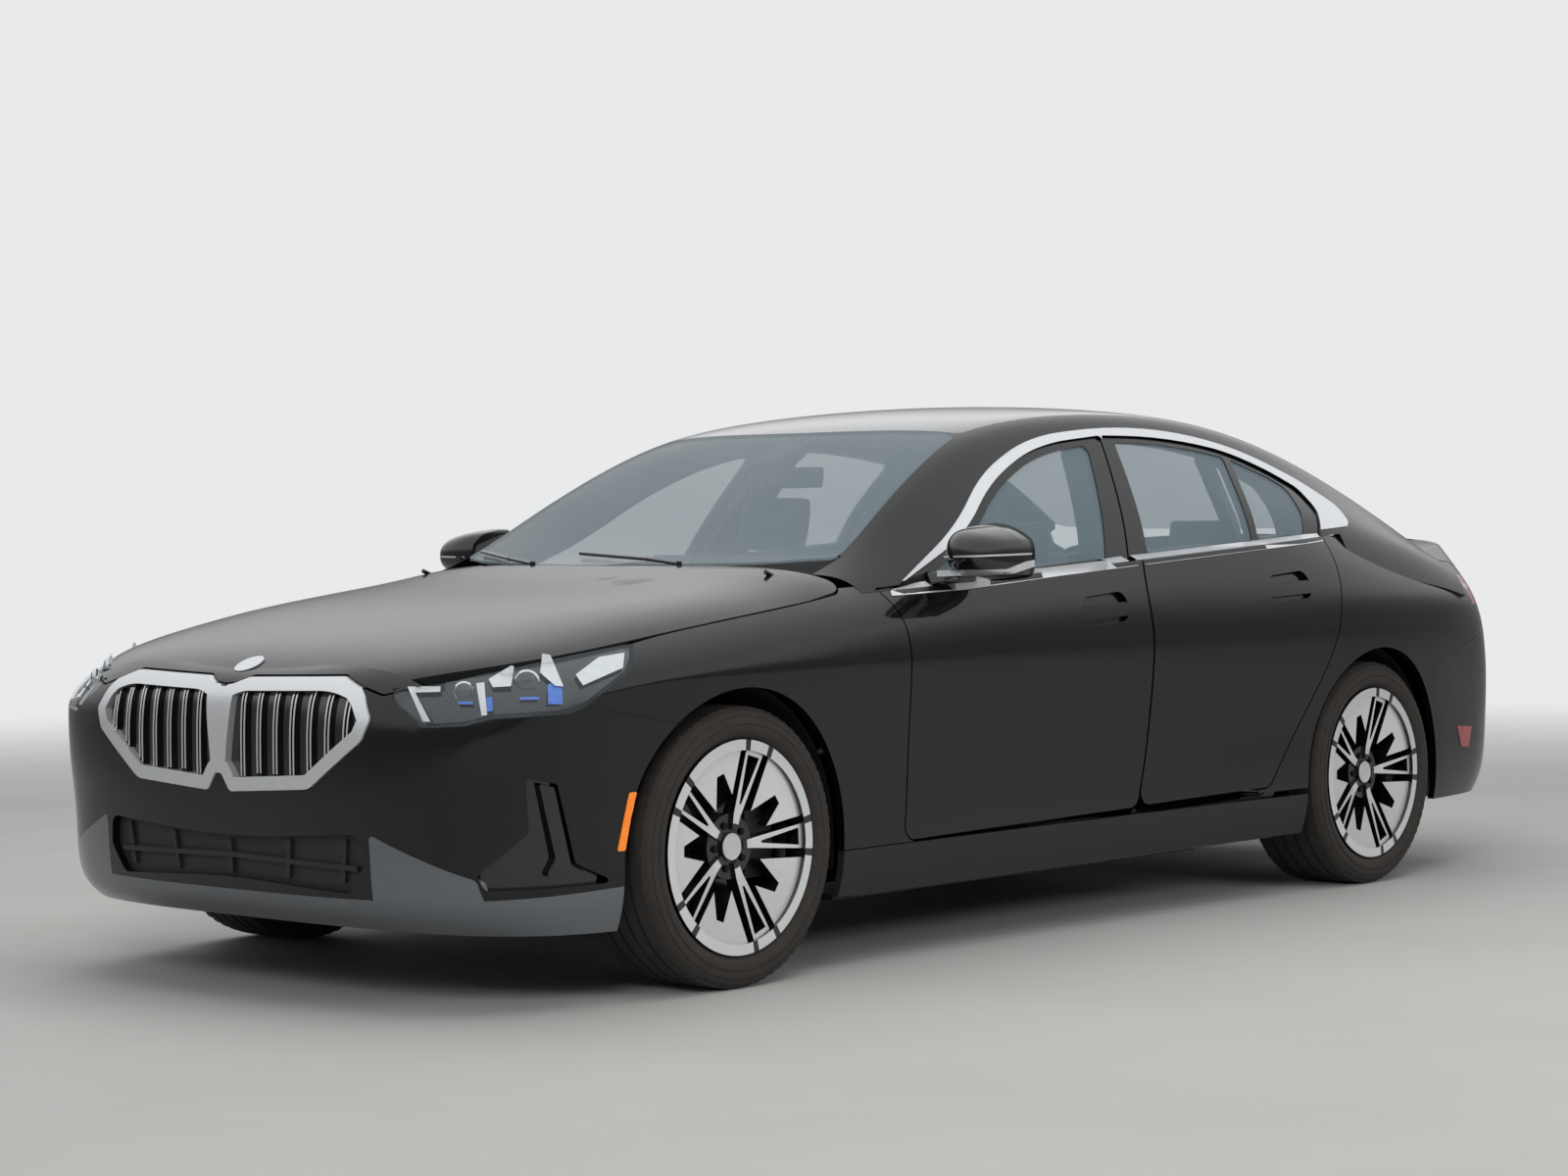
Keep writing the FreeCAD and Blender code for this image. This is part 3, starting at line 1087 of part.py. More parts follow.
def air_curtain():
    """A right air curtain: the dark floor of the pocket with the upright blade in it."""
    floor = nose_slab(-PANEL - SEAT_GAP, -PANEL - SEAT_GAP - POCKET_FLOOR).common(diagonal_block(POCKET_SHARES, POCKET_FLOOR))
    blade = nose_slab(-LIP_DROP, -PANEL - POCKET_FLOOR / 2).common(diagonal_block(BLADE_SHARES))
    return floor.fuse(blade)


def largest(solids, count):
    """The biggest solids of a list."""
    return sorted(solids, key=lambda solid: -solid.Volume)[:count]


def front_bumper():
    """The bumper skin, open at the grille, the lower opening, the lamps and the two air curtains."""
    half = box(-LENGTH, 0.0, 0.0, HALF_Y, 0.0, HEIGHT)
    skin = nose_slab(0.0, -PANEL)
    skin = skin.common(nose_region(0.0)).common(half).cut(lip_space(SEAM))
    skin = skin.cut(arch(FRONT_AXLE_X, ARCH_RADIUS, -HALF_Y, HALF_Y)).cut(above_bonnet_edge(SHUT_GAP))
    skin = skin.cut(kidney_block(SEAT_GAP)).cut(front_block(across(LOWER_INTAKE_SHARES)))
    skin = skin.cut(headlamp_space(SEAT_GAP)).cut(diagonal_block(POCKET_SHARES))
    skin = largest(skin.Solids, 1)[0]
    skin.fix(HEAL, HEAL, HEAL)
    return skin.fuse(mirrored(skin))


def grille_surround():
    """The bright frame round both grille openings, joined by its centre bar."""
    frame = nose_slab(KIDNEY_PROUD, -PANEL).common(kidney_block(0.0)).cut(kidney_openings(0.0))
    return largest(frame.cut(above_bonnet_edge(SHUT_GAP)).Solids, 1)[0]


def grille_bars():
    """The closed grille panel with its upright double bars, as one moulding across both openings."""
    opening = kidney_openings(SEAT_GAP)
    panel = nose_slab(-GRILLE_DEPTH, -GRILLE_DEPTH - PANEL / 2).common(opening)
    bars = []
    for side in (-1, 1):
        for k in range(BAR_COUNT):
            middle = side * (FIRST_BAR_SHARE + BAR_PITCH_SHARE * k) * GY
            for edge in (-1, 1):
                y = middle + edge * (BAR_WIDTH + BAR_PAIR_GAP) / 2 - BAR_WIDTH / 2
                bars.append(box(-LENGTH, NOSE_BACK_X_SHARE * GX, y, y + BAR_WIDTH, 0.0, HEIGHT))
    layer = nose_slab(-GRILLE_DEPTH + BAR_PROUD, -GRILLE_DEPTH - PANEL / 4)
    rails = layer.common(opening).common(Part.makeCompound(bars))
    return Part.makeCompound(panel.fuse(rails).Solids)


def lower_grille():
    """The dark grid behind the lower opening: one cross bar and upright vanes."""
    outline = across(LOWER_INTAKE_SHARES)
    back = nose_slab(-PANEL - SEAT_GAP, -2 * PANEL).common(front_block(outline, PANEL / 2))
    bars = [box(-LENGTH, NOSE_BACK_X_SHARE * GX, -HALF_Y, HALF_Y, LOWER_BAR_Z_SHARE * GZ, LOWER_BAR_Z_SHARE * GZ + VANE_WIDTH)]
    for share in VANE_Y_SHARES:
        y = share * GY
        bars.append(box(-LENGTH, NOSE_BACK_X_SHARE * GX, y - VANE_WIDTH / 2, y + VANE_WIDTH / 2, 0.0, HEIGHT))
    layer = nose_slab(-VANE_WIDTH, -PANEL - VANE_WIDTH).common(front_block(outline, -SEAT_GAP))
    return back.fuse(layer.common(Part.makeCompound(bars)))


def headlamp():
    """The left headlamp's lens."""
    lamp = nose_slab(0.0, -LAMP_DEPTH).common(headlamp_space(0.0))
    return largest(lamp.cut(above_bonnet_edge(SHUT_GAP)).cut(kidney_block(SEAT_GAP)).Solids, 1)[0]


# Tail: bumper, lamps

def rear_bumper():
    """The rear bumper."""
    skin = tail_slab(0.0, -PANEL)
    skin = skin.common(bumper_region(TAIL_REGION_SHARES, 0.0))
    return skin.cut(arch(REAR_AXLE_X, ARCH_RADIUS, -HALF_Y, HALF_Y)).cut(boot_face_block(SHUT_GAP))


def boot_face_block(margin):
    """The space of the boot lid's rear face."""
    rows = [(TAIL_FRONT_X_SHARE * GX, p[0] * GY, p[1] * GZ, *[q * GY for q in p[2:]]) for p in across(BOOT_FACE_SHARES)]
    wire = rounded(rows, SMOOTH * GY)
    if abs(margin) > 0:
        wire = wire.makeOffset2D(margin)
    return Part.Face(wire).extrude(V(HALF_Y, 0, 0))


def tail_lamp():
    """The left tail lamp."""
    return tail_slab(0.0, -LAMP_DEPTH / 2).common(tail_lamp_space(0.0)).cut(boot_face_block(SHUT_GAP)).cut(boot_space(SHUT_GAP))


def diffuser():
    """The diffuser under the rear bumper."""
    block = side_prism(DIFFUSER_SHARES, 0.0, -6.0 * GY, 6.0 * GY)
    return largest(block.cut(tail_slab(OVERRUN, -PANEL - SEAT_GAP)).Solids, 1)[0]


# Sills

def sill_skirt():
    """The skirt under the left sill."""
    skirt = side_slab(0.0, -PANEL).common(grid_box(SKIRT_SHARES)).cut(ARCHES)
    return skirt


# Wheels


def revolved(points):
    """A ring or disc made by turning an outline of radius and width about the wheel's axis."""
    wire = Part.makePolygon([V(r, y, 0) for r, y in [*points, points[0]]])
    return Part.Face(wire).revolve(V(0, 0, 0), V(0, 1, 0), 360)


def tyre(width):
    """A tyre on the Y axis, open at the middle."""
    half = width / 2
    bead = half * LIP_SHARE - FLANGE_WIDTH - BEAD_GAP
    seat, crown = RIM_SEAT_RADIUS + BEAD_GAP, RIM_RADIUS + BEAD_GAP
    outline = [
        (seat, -bead), (crown, -bead), (RIM_RADIUS + TYRE_SHOULDER, -half), (TYRE_RADIUS - TYRE_SHOULDER, -half * 0.97),
        (TYRE_RADIUS - TYRE_SHOULDER / 4, -half * 0.86), (TYRE_RADIUS, -half * 0.68), (TYRE_RADIUS, half * 0.68),
        (TYRE_RADIUS - TYRE_SHOULDER / 4, half * 0.86), (TYRE_RADIUS - TYRE_SHOULDER, half * 0.97),
        (RIM_RADIUS + TYRE_SHOULDER, half), (crown, bead), (seat, bead), (seat, bead - FLANGE_WIDTH),
        (crown, bead - 2 * FLANGE_WIDTH), (crown, 2 * FLANGE_WIDTH - bead), (seat, FLANGE_WIDTH - bead),
    ]
    return revolved(outline)


def face_prism(points, turn):
    """A block through the wheel's face from an outline in its plane, turned about the axle by degrees."""
    wire = Part.makePolygon([V(a * RIM_SEAT_RADIUS, -WIDTH, b * RIM_SEAT_RADIUS) for a, b in [*points, points[0]]])
    block = Part.Face(wire).extrude(V(0, 2 * WIDTH, 0))
    return block.rotate(V(0, 0, 0), V(0, 1, 0), -turn)


def polar(rows):
    """An outline given by radius and degrees as plain coordinates."""
    return [(r * math.cos(math.radians(a)), r * math.sin(math.radians(a))) for r, a in rows]


def rim(width):
    """A right wheel on the Y axis, its face towards +Y, with hub, brake disc and stub axle."""
    half = width / 2
    lip = half * LIP_SHARE
    barrel = [
        (RIM_RADIUS, -lip), (RIM_RADIUS, -lip + FLANGE_WIDTH), (RIM_SEAT_RADIUS, -lip + FLANGE_WIDTH),
        (RIM_SEAT_RADIUS, -half * 0.5), (RIM_WELL_RADIUS + RIM_WALL, -half * 0.3), (RIM_WELL_RADIUS + RIM_WALL, half * 0.1),
        (RIM_SEAT_RADIUS, half * 0.4), (RIM_SEAT_RADIUS, lip - FLANGE_WIDTH), (RIM_RADIUS, lip - FLANGE_WIDTH),
        (RIM_RADIUS, lip), (RIM_SEAT_RADIUS - RIM_WALL, lip), (RIM_SEAT_RADIUS - RIM_WALL, half * 0.4),
        (RIM_WELL_RADIUS, half * 0.1), (RIM_WELL_RADIUS, -half * 0.3), (RIM_SEAT_RADIUS - RIM_WALL, -half * 0.5),
        (RIM_SEAT_RADIUS - RIM_WALL, -lip),
    ]
    wheel = revolved(barrel)
    face_in, face_out = half - HUB_FACE_INSET, lip - RIM_FACE_INSET
    reach = RIM_SEAT_RADIUS - RIM_WALL / 2
    dish = revolved([
        (0, face_in), (HUB_RADIUS, face_in), (reach, face_out), (reach, face_out - SPOKE_DEPTH),
        (HUB_RADIUS, face_in - SPOKE_DEPTH * 1.5), (0, face_in - SPOKE_DEPTH * 1.5),
    ])
    blades, webs = [], []
    for k in range(FORKS):
        turn = FORK_TURN + k * 360 / FORKS
        blades.append(face_prism(FORK_SHARES, turn).cut(face_prism(FORK_HOLE_SHARES, turn)))
        blades.append(face_prism(polar(VANE_SHARES), turn + VANE_TURN))
        webs.append(face_prism(polar(WEB_SHARES), turn + VANE_TURN))
    web = dish.copy().translate(V(0, -WEB_STEP, 0)).common(Part.makeCompound(webs))
    hub = revolved([
        (0, face_in), (CAP_RADIUS, face_in), (CAP_RADIUS, face_in - WEB_STEP), (HUB_RADIUS, face_in - WEB_STEP),
        (HUB_RADIUS, DISC_PLACE), (0, DISC_PLACE),
    ])
    wheel = wheel.fuse(dish.common(Part.makeCompound(blades))).fuse(web)
    disc = revolved([(0, DISC_PLACE), (DISC_RADIUS, DISC_PLACE), (DISC_RADIUS, DISC_PLACE + DISC_THICKNESS), (0, DISC_PLACE + DISC_THICKNESS)])
    stub = revolved([(0, DISC_PLACE), (STUB_RADIUS, DISC_PLACE), (STUB_RADIUS, DISC_PLACE - STUB_LENGTH), (0, DISC_PLACE - STUB_LENGTH)])
    return wheel.fuse(hub).fuse(disc).fuse(stub)


# Knuckles, suspension and brakes


def upright(axle_x, wheel_y, caliper_side, steered=False):
    """A right hub carrier with its brake caliper round the disc."""
    y1 = wheel_y + DISC_PLACE - SHUT_GAP
    y0 = y1 - UPRIGHT_THICKNESS
    body = box(axle_x - UPRIGHT_HALF, axle_x + UPRIGHT_HALF, y0, y1, TYRE_RADIUS - UPRIGHT_RISE, TYRE_RADIUS + UPRIGHT_RISE)
    bore = cylinder_y(STUB_RADIUS + STUB_GAP, axle_x, TYRE_RADIUS, y0 - OVERRUN, y1 + OVERRUN)
    x0 = axle_x + caliper_side * DISC_RADIUS * 0.55
    x1 = axle_x + caliper_side * (DISC_RADIUS + CALIPER_WALL)
    caliper = box(min(x0, x1), max(x0, x1), y0, wheel_y + DISC_PLACE + DISC_THICKNESS + CALIPER_WALL, TYRE_RADIUS - CALIPER_THICKNESS, TYRE_RADIUS + CALIPER_THICKNESS)
    slot = cylinder_y(DISC_RADIUS + SHUT_GAP, axle_x, TYRE_RADIUS, wheel_y + DISC_PLACE - SHUT_GAP, wheel_y + DISC_PLACE + DISC_THICKNESS + SHUT_GAP)
    caliper = caliper.common(cylinder_y(DISC_RADIUS + CALIPER_WALL, axle_x, TYRE_RADIUS, y0 - OVERRUN, WIDTH)).cut(slot)
    reach = box(min(axle_x, x1), max(axle_x, x1), y0, y1, TYRE_RADIUS - UPRIGHT_HALF, TYRE_RADIUS + UPRIGHT_HALF)
    reach = reach.common(cylinder_y(DISC_RADIUS + CALIPER_WALL, axle_x, TYRE_RADIUS, y0 - OVERRUN, WIDTH))
    carrier = body.fuse(reach).fuse(caliper).cut(bore)
    if steered:
        pin_y = STEER_AXIS_Y_SHARE * GY
        for z0 in (TYRE_RADIUS - UPRIGHT_RISE, TYRE_RADIUS + UPRIGHT_RISE - PIN_SOCKET_DEPTH):
            carrier = carrier.cut(Part.makeCylinder(PIN_BALL_RADIUS + STUB_GAP, PIN_SOCKET_DEPTH, V(axle_x, pin_y, z0)))
    return carrier


def arm(start, end, radius):
    """A round suspension link between two points."""
    a, b = grid(start), grid(end)
    return Part.makeCylinder(radius, (b - a).Length, a, b - a)


def front_suspension():
    """Lower arms, upper arms and struts, with the pins that carry the knuckles, on a cross member."""
    x, y = FRONT_AXLE_X / GX, STEER_AXIS_Y_SHARE
    low, high = (TYRE_RADIUS - UPRIGHT_RISE) / GZ, (TYRE_RADIUS + UPRIGHT_RISE) / GZ
    parts = [
        arm((x, 5.4, low - 0.35), (x, 5.25, STRUT_TOP_SHARE), STRUT_RADIUS),
        grid_box((x - 0.8, x + 0.8, 5.15, 5.65, low - 0.5, low - 0.2)),
        arm((x, y, low - 0.5), (x, y, low + PIN_DEPTH_SHARE), PIN_BALL_RADIUS),
        arm((x, y, high - PIN_DEPTH_SHARE), (x, y, high + 0.5), PIN_BALL_RADIUS),
        grid_box((x - 0.6, x + 0.6, RAIL_SHARES[2], RAIL_SHARES[2] + 0.3, low, RAIL_SHARES[4])),
        grid_box((x - 0.8, x + 0.8, 5.0, 5.45, high + 0.25, high + 0.55)),
    ]
    for dx in (-1.0, 1.0):
        parts.append(arm((x + dx, 4.0, low - 0.35), (x, y, low - 0.35), ARM_RADIUS))
        parts.append(arm((x + dx, 4.2, high + 0.3), (x, y, high + 0.4), ARM_RADIUS))
    half = fused(parts).cut(grid_box(RAIL_SHARES))
    member = grid_box((x - 1.2, x + 1.2, -4.2, 4.2, low - 0.6, low + 0.4))
    return fused([member, half, mirrored(half)])


def rear_suspension():
    """The rear cross member and links, with the fixed hub carriers and calipers."""
    x, y = REAR_AXLE_X / GX, 7.32
    low, high = 2.3, 4.35
    parts = [
        arm((x, 5.6, low), (x, 5.6, FLOOR_OUTLINE_SHARES[4][1] - SEAT_GAP / GZ), STRUT_RADIUS),
        grid_box((x - 0.8, x + 0.8, 5.35, 5.85, low - 0.15, low + 0.15)),
        upright(REAR_AXLE_X, REAR_WHEEL_Y, -1),
    ]
    for dx in (-1.3, 1.3):
        parts.append(arm((x + dx, 3.6, low), (x, y, low), ARM_RADIUS))
        parts.append(arm((x + dx, 3.8, high), (x, y, high), ARM_RADIUS))
        parts.append(grid_box((x + dx - 0.2, x + dx + 0.2, 3.6, 3.9, low, high + 0.2)))
    half = fused(parts)
    member = grid_box((x - 1.6, x + 1.6, -3.9, 3.9, 2.0, 2.9))
    return fused([member, half, mirrored(half)])


def fused(parts):
    """Joins shapes that touch into one solid."""
    shape = parts[0]
    for part in parts[1:]:
        shape = shape.fuse(part)
    return shape


# Floor, battery, drive and cabin


def front_structure():
    """The rails ahead of the bulkhead, with the strut towers, radiator panel and bumper beam."""
    parts = [grid_box(BEAM_SHARES)]
    for shares in (RAIL_SHARES, TOWER_SHARES, TOWER_WALL_SHARES):
        block = grid_box(shares)
        parts += [block, mirrored(block)]
    parts.append(grid_box(RADIATOR_SHARES))
    return fused(parts)


def floor_pan():
    """The floor with its tunnel and sill beams."""
    floor = side_prism(FLOOR_OUTLINE_SHARES, 0.0, -FLOOR_HALF_SHARE * GY, FLOOR_HALF_SHARE * GY)
    for axle, tub in ((FRONT_AXLE_X, FRONT_TUB_SHARE), (REAR_AXLE_X, REAR_TUB_SHARE)):
        reach = LINER_RADIUS + LINER_WALL + SEAT_GAP
        well = box(axle - reach, axle + reach, tub * GY - LINER_WALL, HALF_Y, 0.0, WELL_TOP_SHARE * GZ)
        floor = floor.cut(well).cut(mirrored(well))
    return floor


def liner(axle_x, inner_y):
    """A right wheelhouse: an arched shell over the tyre with its inner wall."""
    y0, y1 = inner_y * GY, LINER_OUT_SHARE * GY
    outer = arch(axle_x, LINER_RADIUS + LINER_WALL, y0 - LINER_WALL, y1)
    inner = arch(axle_x, LINER_RADIUS, y0, y1 + OVERRUN)
    shell = outer.cut(inner).common(box(-LENGTH, LENGTH, 0.0, WIDTH, LINER_BASE_SHARE * GZ, HEIGHT))
    x = axle_x / GX
    window = grid_box((x - LINER_WINDOW_SHARE, x + LINER_WINDOW_SHARE, 0.0, inner_y + 0.2, 0.0, LINER_WINDOW_TOP_SHARE))
    return shell.cut(window)


def bay_cover():
    """The cover over the space under the bonnet."""
    return side_prism(BAY_SHARES, 0.0, -6.2 * GY, 6.2 * GY).cut(plan_region([(-20.6, 4.6), (-12.0, 4.6), (-12.0, 9.0), (-20.6, 9.0)])).cut(
        plan_region([(-20.6, -4.6), (-12.0, -4.6), (-12.0, -9.0), (-20.6, -9.0)]))


def cowl():
    """The panel below the windscreen, with the lugs and pins that carry the bonnet."""
    panel = side_prism(COWL_SHARES, 0.0, -7.1 * GY, 7.1 * GY)
    x, z = BONNET_AXIS_SHARES
    middle = BONNET_ARM_Y_SHARE * GY
    inner = middle - BONNET_ARM_WIDTH / 2 - SHUT_GAP
    outer = middle + BONNET_ARM_WIDTH / 2 + SHUT_GAP
    lugs = [side_prism(LUG_SHARES, 0.0, inner - LUG_WALL, inner), side_prism(LUG_SHARES, 0.0, outer, outer + LUG_WALL)]
    lugs.append(cylinder_y(PIN_RADIUS, x * GX, z * GZ, inner - LUG_WALL / 2, outer + LUG_WALL / 2))
    carrier = fused(lugs)
    return fused([panel, carrier, mirrored(carrier)])


def dashboard():
    """The dashboard with the steering column."""
    body = side_prism(DASH_SHARES, 0.0, -7.0 * GY, 7.0 * GY)
    console = side_prism(CONSOLE_SHARES, 0.0, -1.0 * GY, 1.0 * GY)
    bore = Part.makeCylinder(WHEEL_COLUMN_RADIUS + EYE_GAP, WHEEL_COLUMN_LENGTH * 2, V(0, 0, -WHEEL_COLUMN_LENGTH * 2))
    bore = bore.rotate(V(0, 0, 0), V(0, 1, 0), 90 - WHEEL_TILT).translate(grid(STEERING_SHARES))
    return body.fuse(console).cut(bore)


def steering_wheel():
    """The steering wheel on its shaft."""
    ring = Part.makeTorus(WHEEL_RING_RADIUS, WHEEL_GRIP_RADIUS).translate(V(0, 0, WHEEL_GRIP_RADIUS))
    hub = Part.makeCylinder(WHEEL_HUB_RADIUS, WHEEL_HUB_DEPTH)
    spokes = [
        Part.makeBox(WHEEL_RING_RADIUS, WHEEL_SPOKE_WIDTH, WHEEL_GRIP_RADIUS, V(0, -WHEEL_SPOKE_WIDTH / 2, 0)).rotate(V(0, 0, 0), V(0, 0, 1), a)
        for a in (0, 180, 270)
    ]
    column = Part.makeCylinder(WHEEL_COLUMN_RADIUS, WHEEL_COLUMN_LENGTH, V(0, 0, -WHEEL_COLUMN_LENGTH))
    wheel = fused([ring, hub, *spokes, column])
    wheel = wheel.rotate(V(0, 0, 0), V(0, 1, 0), 90 - WHEEL_TILT)
    return wheel.translate(grid(STEERING_SHARES))


def front_seat(side):
    """The left front seat."""
    y0, y1 = (SEAT_Y_SHARE * side - SEAT_HALF_SHARE) * GY, (SEAT_Y_SHARE * side + SEAT_HALF_SHARE) * GY
    middle = SEAT_Y_SHARE * side * GY
    base = side_prism(SEAT_BASE_SHARES, 0.0, y0, y1)
    back = side_prism(SEAT_BACK_SHARES, 0.0, y0, y1)
    rest = side_prism(HEADREST_SHARES, 0.0, middle - GY * 1.35, middle + GY * 1.35)
    posts = [arm(( -0.5, middle / GY + d, 10.3), (-0.2, middle / GY + d, 11.2), PIN_RADIUS) for d in (-0.6, 0.6)]
    x0, x1, z0, z1 = SEAT_RAIL_SHARES
    rails = [box(x0 * GX, x1 * GX, middle + d * GY, middle + (d + 0.35) * GY, z0 * GZ, z1 * GZ) for d in (-2.0, 1.65)]
    return fused([base, back, rest, *posts, *rails])


def rear_bench():
    """The rear bench."""
    bench = side_prism(BENCH_SHARES, 0.0, -BENCH_HALF_SHARE * GY, BENCH_HALF_SHARE * GY)
    rests = [side_prism([(11.9, 10.1), (12.0, 11.5), (12.5, 11.6), (12.55, 10.1)], 0.0, (y - 1.2) * GY, (y + 1.2) * GY) for y in (-3.7, 3.7)]
    return fused([bench, *rests])


def parcel_shelf():
    """The shelf behind the rear bench."""
    shelf = side_prism(SHELF_SHARES, 0.0, -SHELF_HALF_SHARE * GY, SHELF_HALF_SHARE * GY)
    x, z = BOOT_AXIS_SHARES
    reach = SHELF_HALF_SHARE * GY + BOOT_ARM_WIDTH + SHUT_GAP * 2
    pin = cylinder_y(PIN_RADIUS, x * GX, z * GZ, -reach, reach)
    return shelf.fuse(pin)


def rod(points, radius):
    """A bent round bar through points of the body grid."""
    parts = []
    for a, b in zip(points, points[1:]):
        parts.append(arm(a, b, radius))
        parts.append(Part.makeSphere(radius, grid(b)))
    return fused(parts[:-1])


def boot_arm():
    """The swan-neck hinge arm of the boot lid on the right, with the eye on its pin."""
    y = SHELF_HALF_SHARE + (SHUT_GAP + BOOT_ARM_WIDTH / 2) / GY
    x, z = BOOT_AXIS_SHARES
    bar = rod([(a, y, b) for a, b in BOOT_ARM_SHARES], BOOT_ARM_WIDTH / 2)
    low, high = y * GY - BOOT_ARM_WIDTH / 2, y * GY + BOOT_ARM_WIDTH / 2
    eye = cylinder_y(EYE_RADIUS, x * GX, z * GZ, low, high)
    return bar.fuse(eye).cut(cylinder_y(PIN_RADIUS + EYE_GAP, x * GX, z * GZ, low - PANEL, high + PANEL))


def bonnet_arm():
    """The right hinge arm of the bonnet, with the eye on its pin."""
    x, z = BONNET_AXIS_SHARES
    y = BONNET_ARM_Y_SHARE
    bar = rod([(a, y, b) for a, b in BONNET_ARM_SHARES], BONNET_ARM_WIDTH / 2)
    low, high = y * GY - BONNET_ARM_WIDTH / 2, y * GY + BONNET_ARM_WIDTH / 2
    eye = cylinder_y(EYE_RADIUS, x * GX, z * GZ, low, high)
    return bar.fuse(eye).cut(cylinder_y(PIN_RADIUS + EYE_GAP, x * GX, z * GZ, low - PANEL, high + PANEL))


def wiper(points):
    """A wiper: a post on the cowl and an arm that follows the glass."""
    glass = surface(greenhouse_net())
    spots = []
    for x, y in points:
        height = surface_z(glass, x * GX, y * GY) + WIPER_LIFT
        spots.append((x, y, height / GZ))
    x, y, z = spots[0]
    (x0, z0), (x1, z1) = COWL_SHARES[1:3]
    seat = z0 + (z1 - z0) * (x - x0 + PIN_RADIUS / GX) / (x1 - x0) + SEAT_GAP / GZ
    post = arm((x, y, seat), (x, y, z + WIPER_POST_HEAD / GZ), WIPER_POST_RADIUS)
    bars = [arm(a, b, PIN_RADIUS) for a, b in zip(spots, spots[1:])]
    knuckles = [Part.makeSphere(WIPER_KNUCKLE_RADIUS, grid(spot)) for spot in spots[1:-1]]
    return fused([post] + bars + knuckles)


def window_surround():
    """The bright surround of the left windows."""
    band = side_block(TRIM_OUTLINE_SHARES).cut(side_block(FRONT_DOOR_SHARES, SHUT_GAP)).cut(side_block(REAR_DOOR_SHARES, SHUT_GAP))
    band = band.cut(below_belt(-GZ * 0.2))
    return roof_side_slab(TRIM_OUT, 0.0).common(band)


def save(name, shape):
    """Writes one sub-part as a STEP file."""
    shape.exportStep(os.path.join("parts", name + ".step"))


def wheel_at(shape, axle_x, wheel_y, side):
    """Puts a wheel's part at its corner of the car."""
    placed = shape.copy().translate(V(axle_x, wheel_y, TYRE_RADIUS))
    return placed if side > 0 else mirrored(placed)


def main():
    """Builds and saves every sub-part."""
    os.makedirs("parts", exist_ok=True)
    nodes = {}
    right_front = door(FRONT_DOOR_SHARES, [FRONT_WINDOW_SHARES], FRONT_HINGE_X_SHARE * GX, FRONT_HANDLE_SHARES, REAR_DOOR_SHARES)
    right_rear = door(REAR_DOOR_SHARES, [REAR_WINDOW_SHARES, QUARTER_WINDOW_SHARES], REAR_HINGE_X_SHARE * GX, REAR_HANDLE_SHARES)
    panes = {"front": door_glass([FRONT_WINDOW_SHARES]), "rear": door_glass([REAR_WINDOW_SHARES, QUARTER_WINDOW_SHARES])}
    for place, shell in (("front", right_front), ("rear", right_rear)):
        nodes[place + "_right_door"] = shell
        nodes[place + "_left_door"] = mirrored(shell)
        nodes[place + "_right_glass"] = panes[place]
        nodes[place + "_left_glass"] = mirrored(panes[place])
    right_mirror = mirror()
    nodes["right_mirror"] = right_mirror
    nodes["left_mirror"] = mirrored(right_mirror)
    nodes["side_frames"] = pair(side_frame())
    nodes["front_fenders"] = pair(front_fender())
    nodes["rear_quarters"] = pair(rear_quarter())
    nodes["sill_skirts"] = pair(sill_skirt())
    nodes["window_surrounds"] = pair(window_surround())
    nodes["bonnet"] = bonnet()
    nodes["boot_lid"] = boot_lid()
    nodes["roof_panel"] = roof_panel()
    nodes["windscreen"] = windscreen()
    nodes["rear_window"] = rear_window()
    nodes["front_bumper"] = front_bumper()
    nodes["grille_surround"] = grille_surround()
    nodes["grille_bars"] = grille_bars()
    nodes["lower_grille"] = lower_grille()
    nodes["front_lip"] = front_lip()
    nodes["air_curtains"] = pair(air_curtain())
    nodes["headlamps"] = pair(headlamp())
    nodes["rear_bumper"] = rear_bumper()
    nodes["tail_lamps"] = pair(tail_lamp())
    nodes["diffuser"] = diffuser()
    nodes["floor_pan"] = floor_pan()
    nodes["battery_pack"] = grid_box(BATTERY_SHARES)
    nodes["drive_unit"] = grid_box(DRIVE_SHARES)
    nodes["front_structure"] = front_structure()
    nodes["front_liners"] = pair(liner(FRONT_AXLE_X, FRONT_TUB_SHARE))
    nodes["rear_liners"] = pair(liner(REAR_AXLE_X, REAR_TUB_SHARE))
    nodes["bay_cover"] = bay_cover()
    nodes["cowl"] = cowl()
    nodes["dashboard"] = dashboard()
    nodes["steering_wheel"] = steering_wheel()
    nodes["front_seats"] = Part.makeCompound([front_seat(-1), front_seat(1)])
    nodes["rear_bench"] = rear_bench()
    nodes["parcel_shelf"] = parcel_shelf()
    nodes["wipers"] = Part.makeCompound([wiper(points) for points in WIPER_SHARES])
    nodes["front_suspension"] = front_suspension()
    nodes["rear_suspension"] = rear_suspension()
    knuckle = upright(FRONT_AXLE_X, FRONT_WHEEL_Y, 1, True)
    nodes["right_knuckle"] = knuckle
    nodes["left_knuckle"] = mirrored(knuckle)
    for place, axle_x, wheel_y, width in (
        ("front", FRONT_AXLE_X, FRONT_WHEEL_Y, FRONT_TYRE_WIDTH), ("rear", REAR_AXLE_X, REAR_WHEEL_Y, REAR_TYRE_WIDTH),
    ):
        wheel, rubber = rim(width), tyre(width)
        for side, word in ((1, "right"), (-1, "left")):
            nodes[place + "_" + word + "_rim"] = wheel_at(wheel, axle_x, wheel_y, side)
            nodes[place + "_" + word + "_tyre"] = wheel_at(rubber, axle_x, wheel_y, side)
    for name, shape in nodes.items():
        save(name, shape)


if __name__ == "__main__":
    main()
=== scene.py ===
"""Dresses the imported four-door saloon: paint, glass, bright trim, wheels, lamps and cabin."""

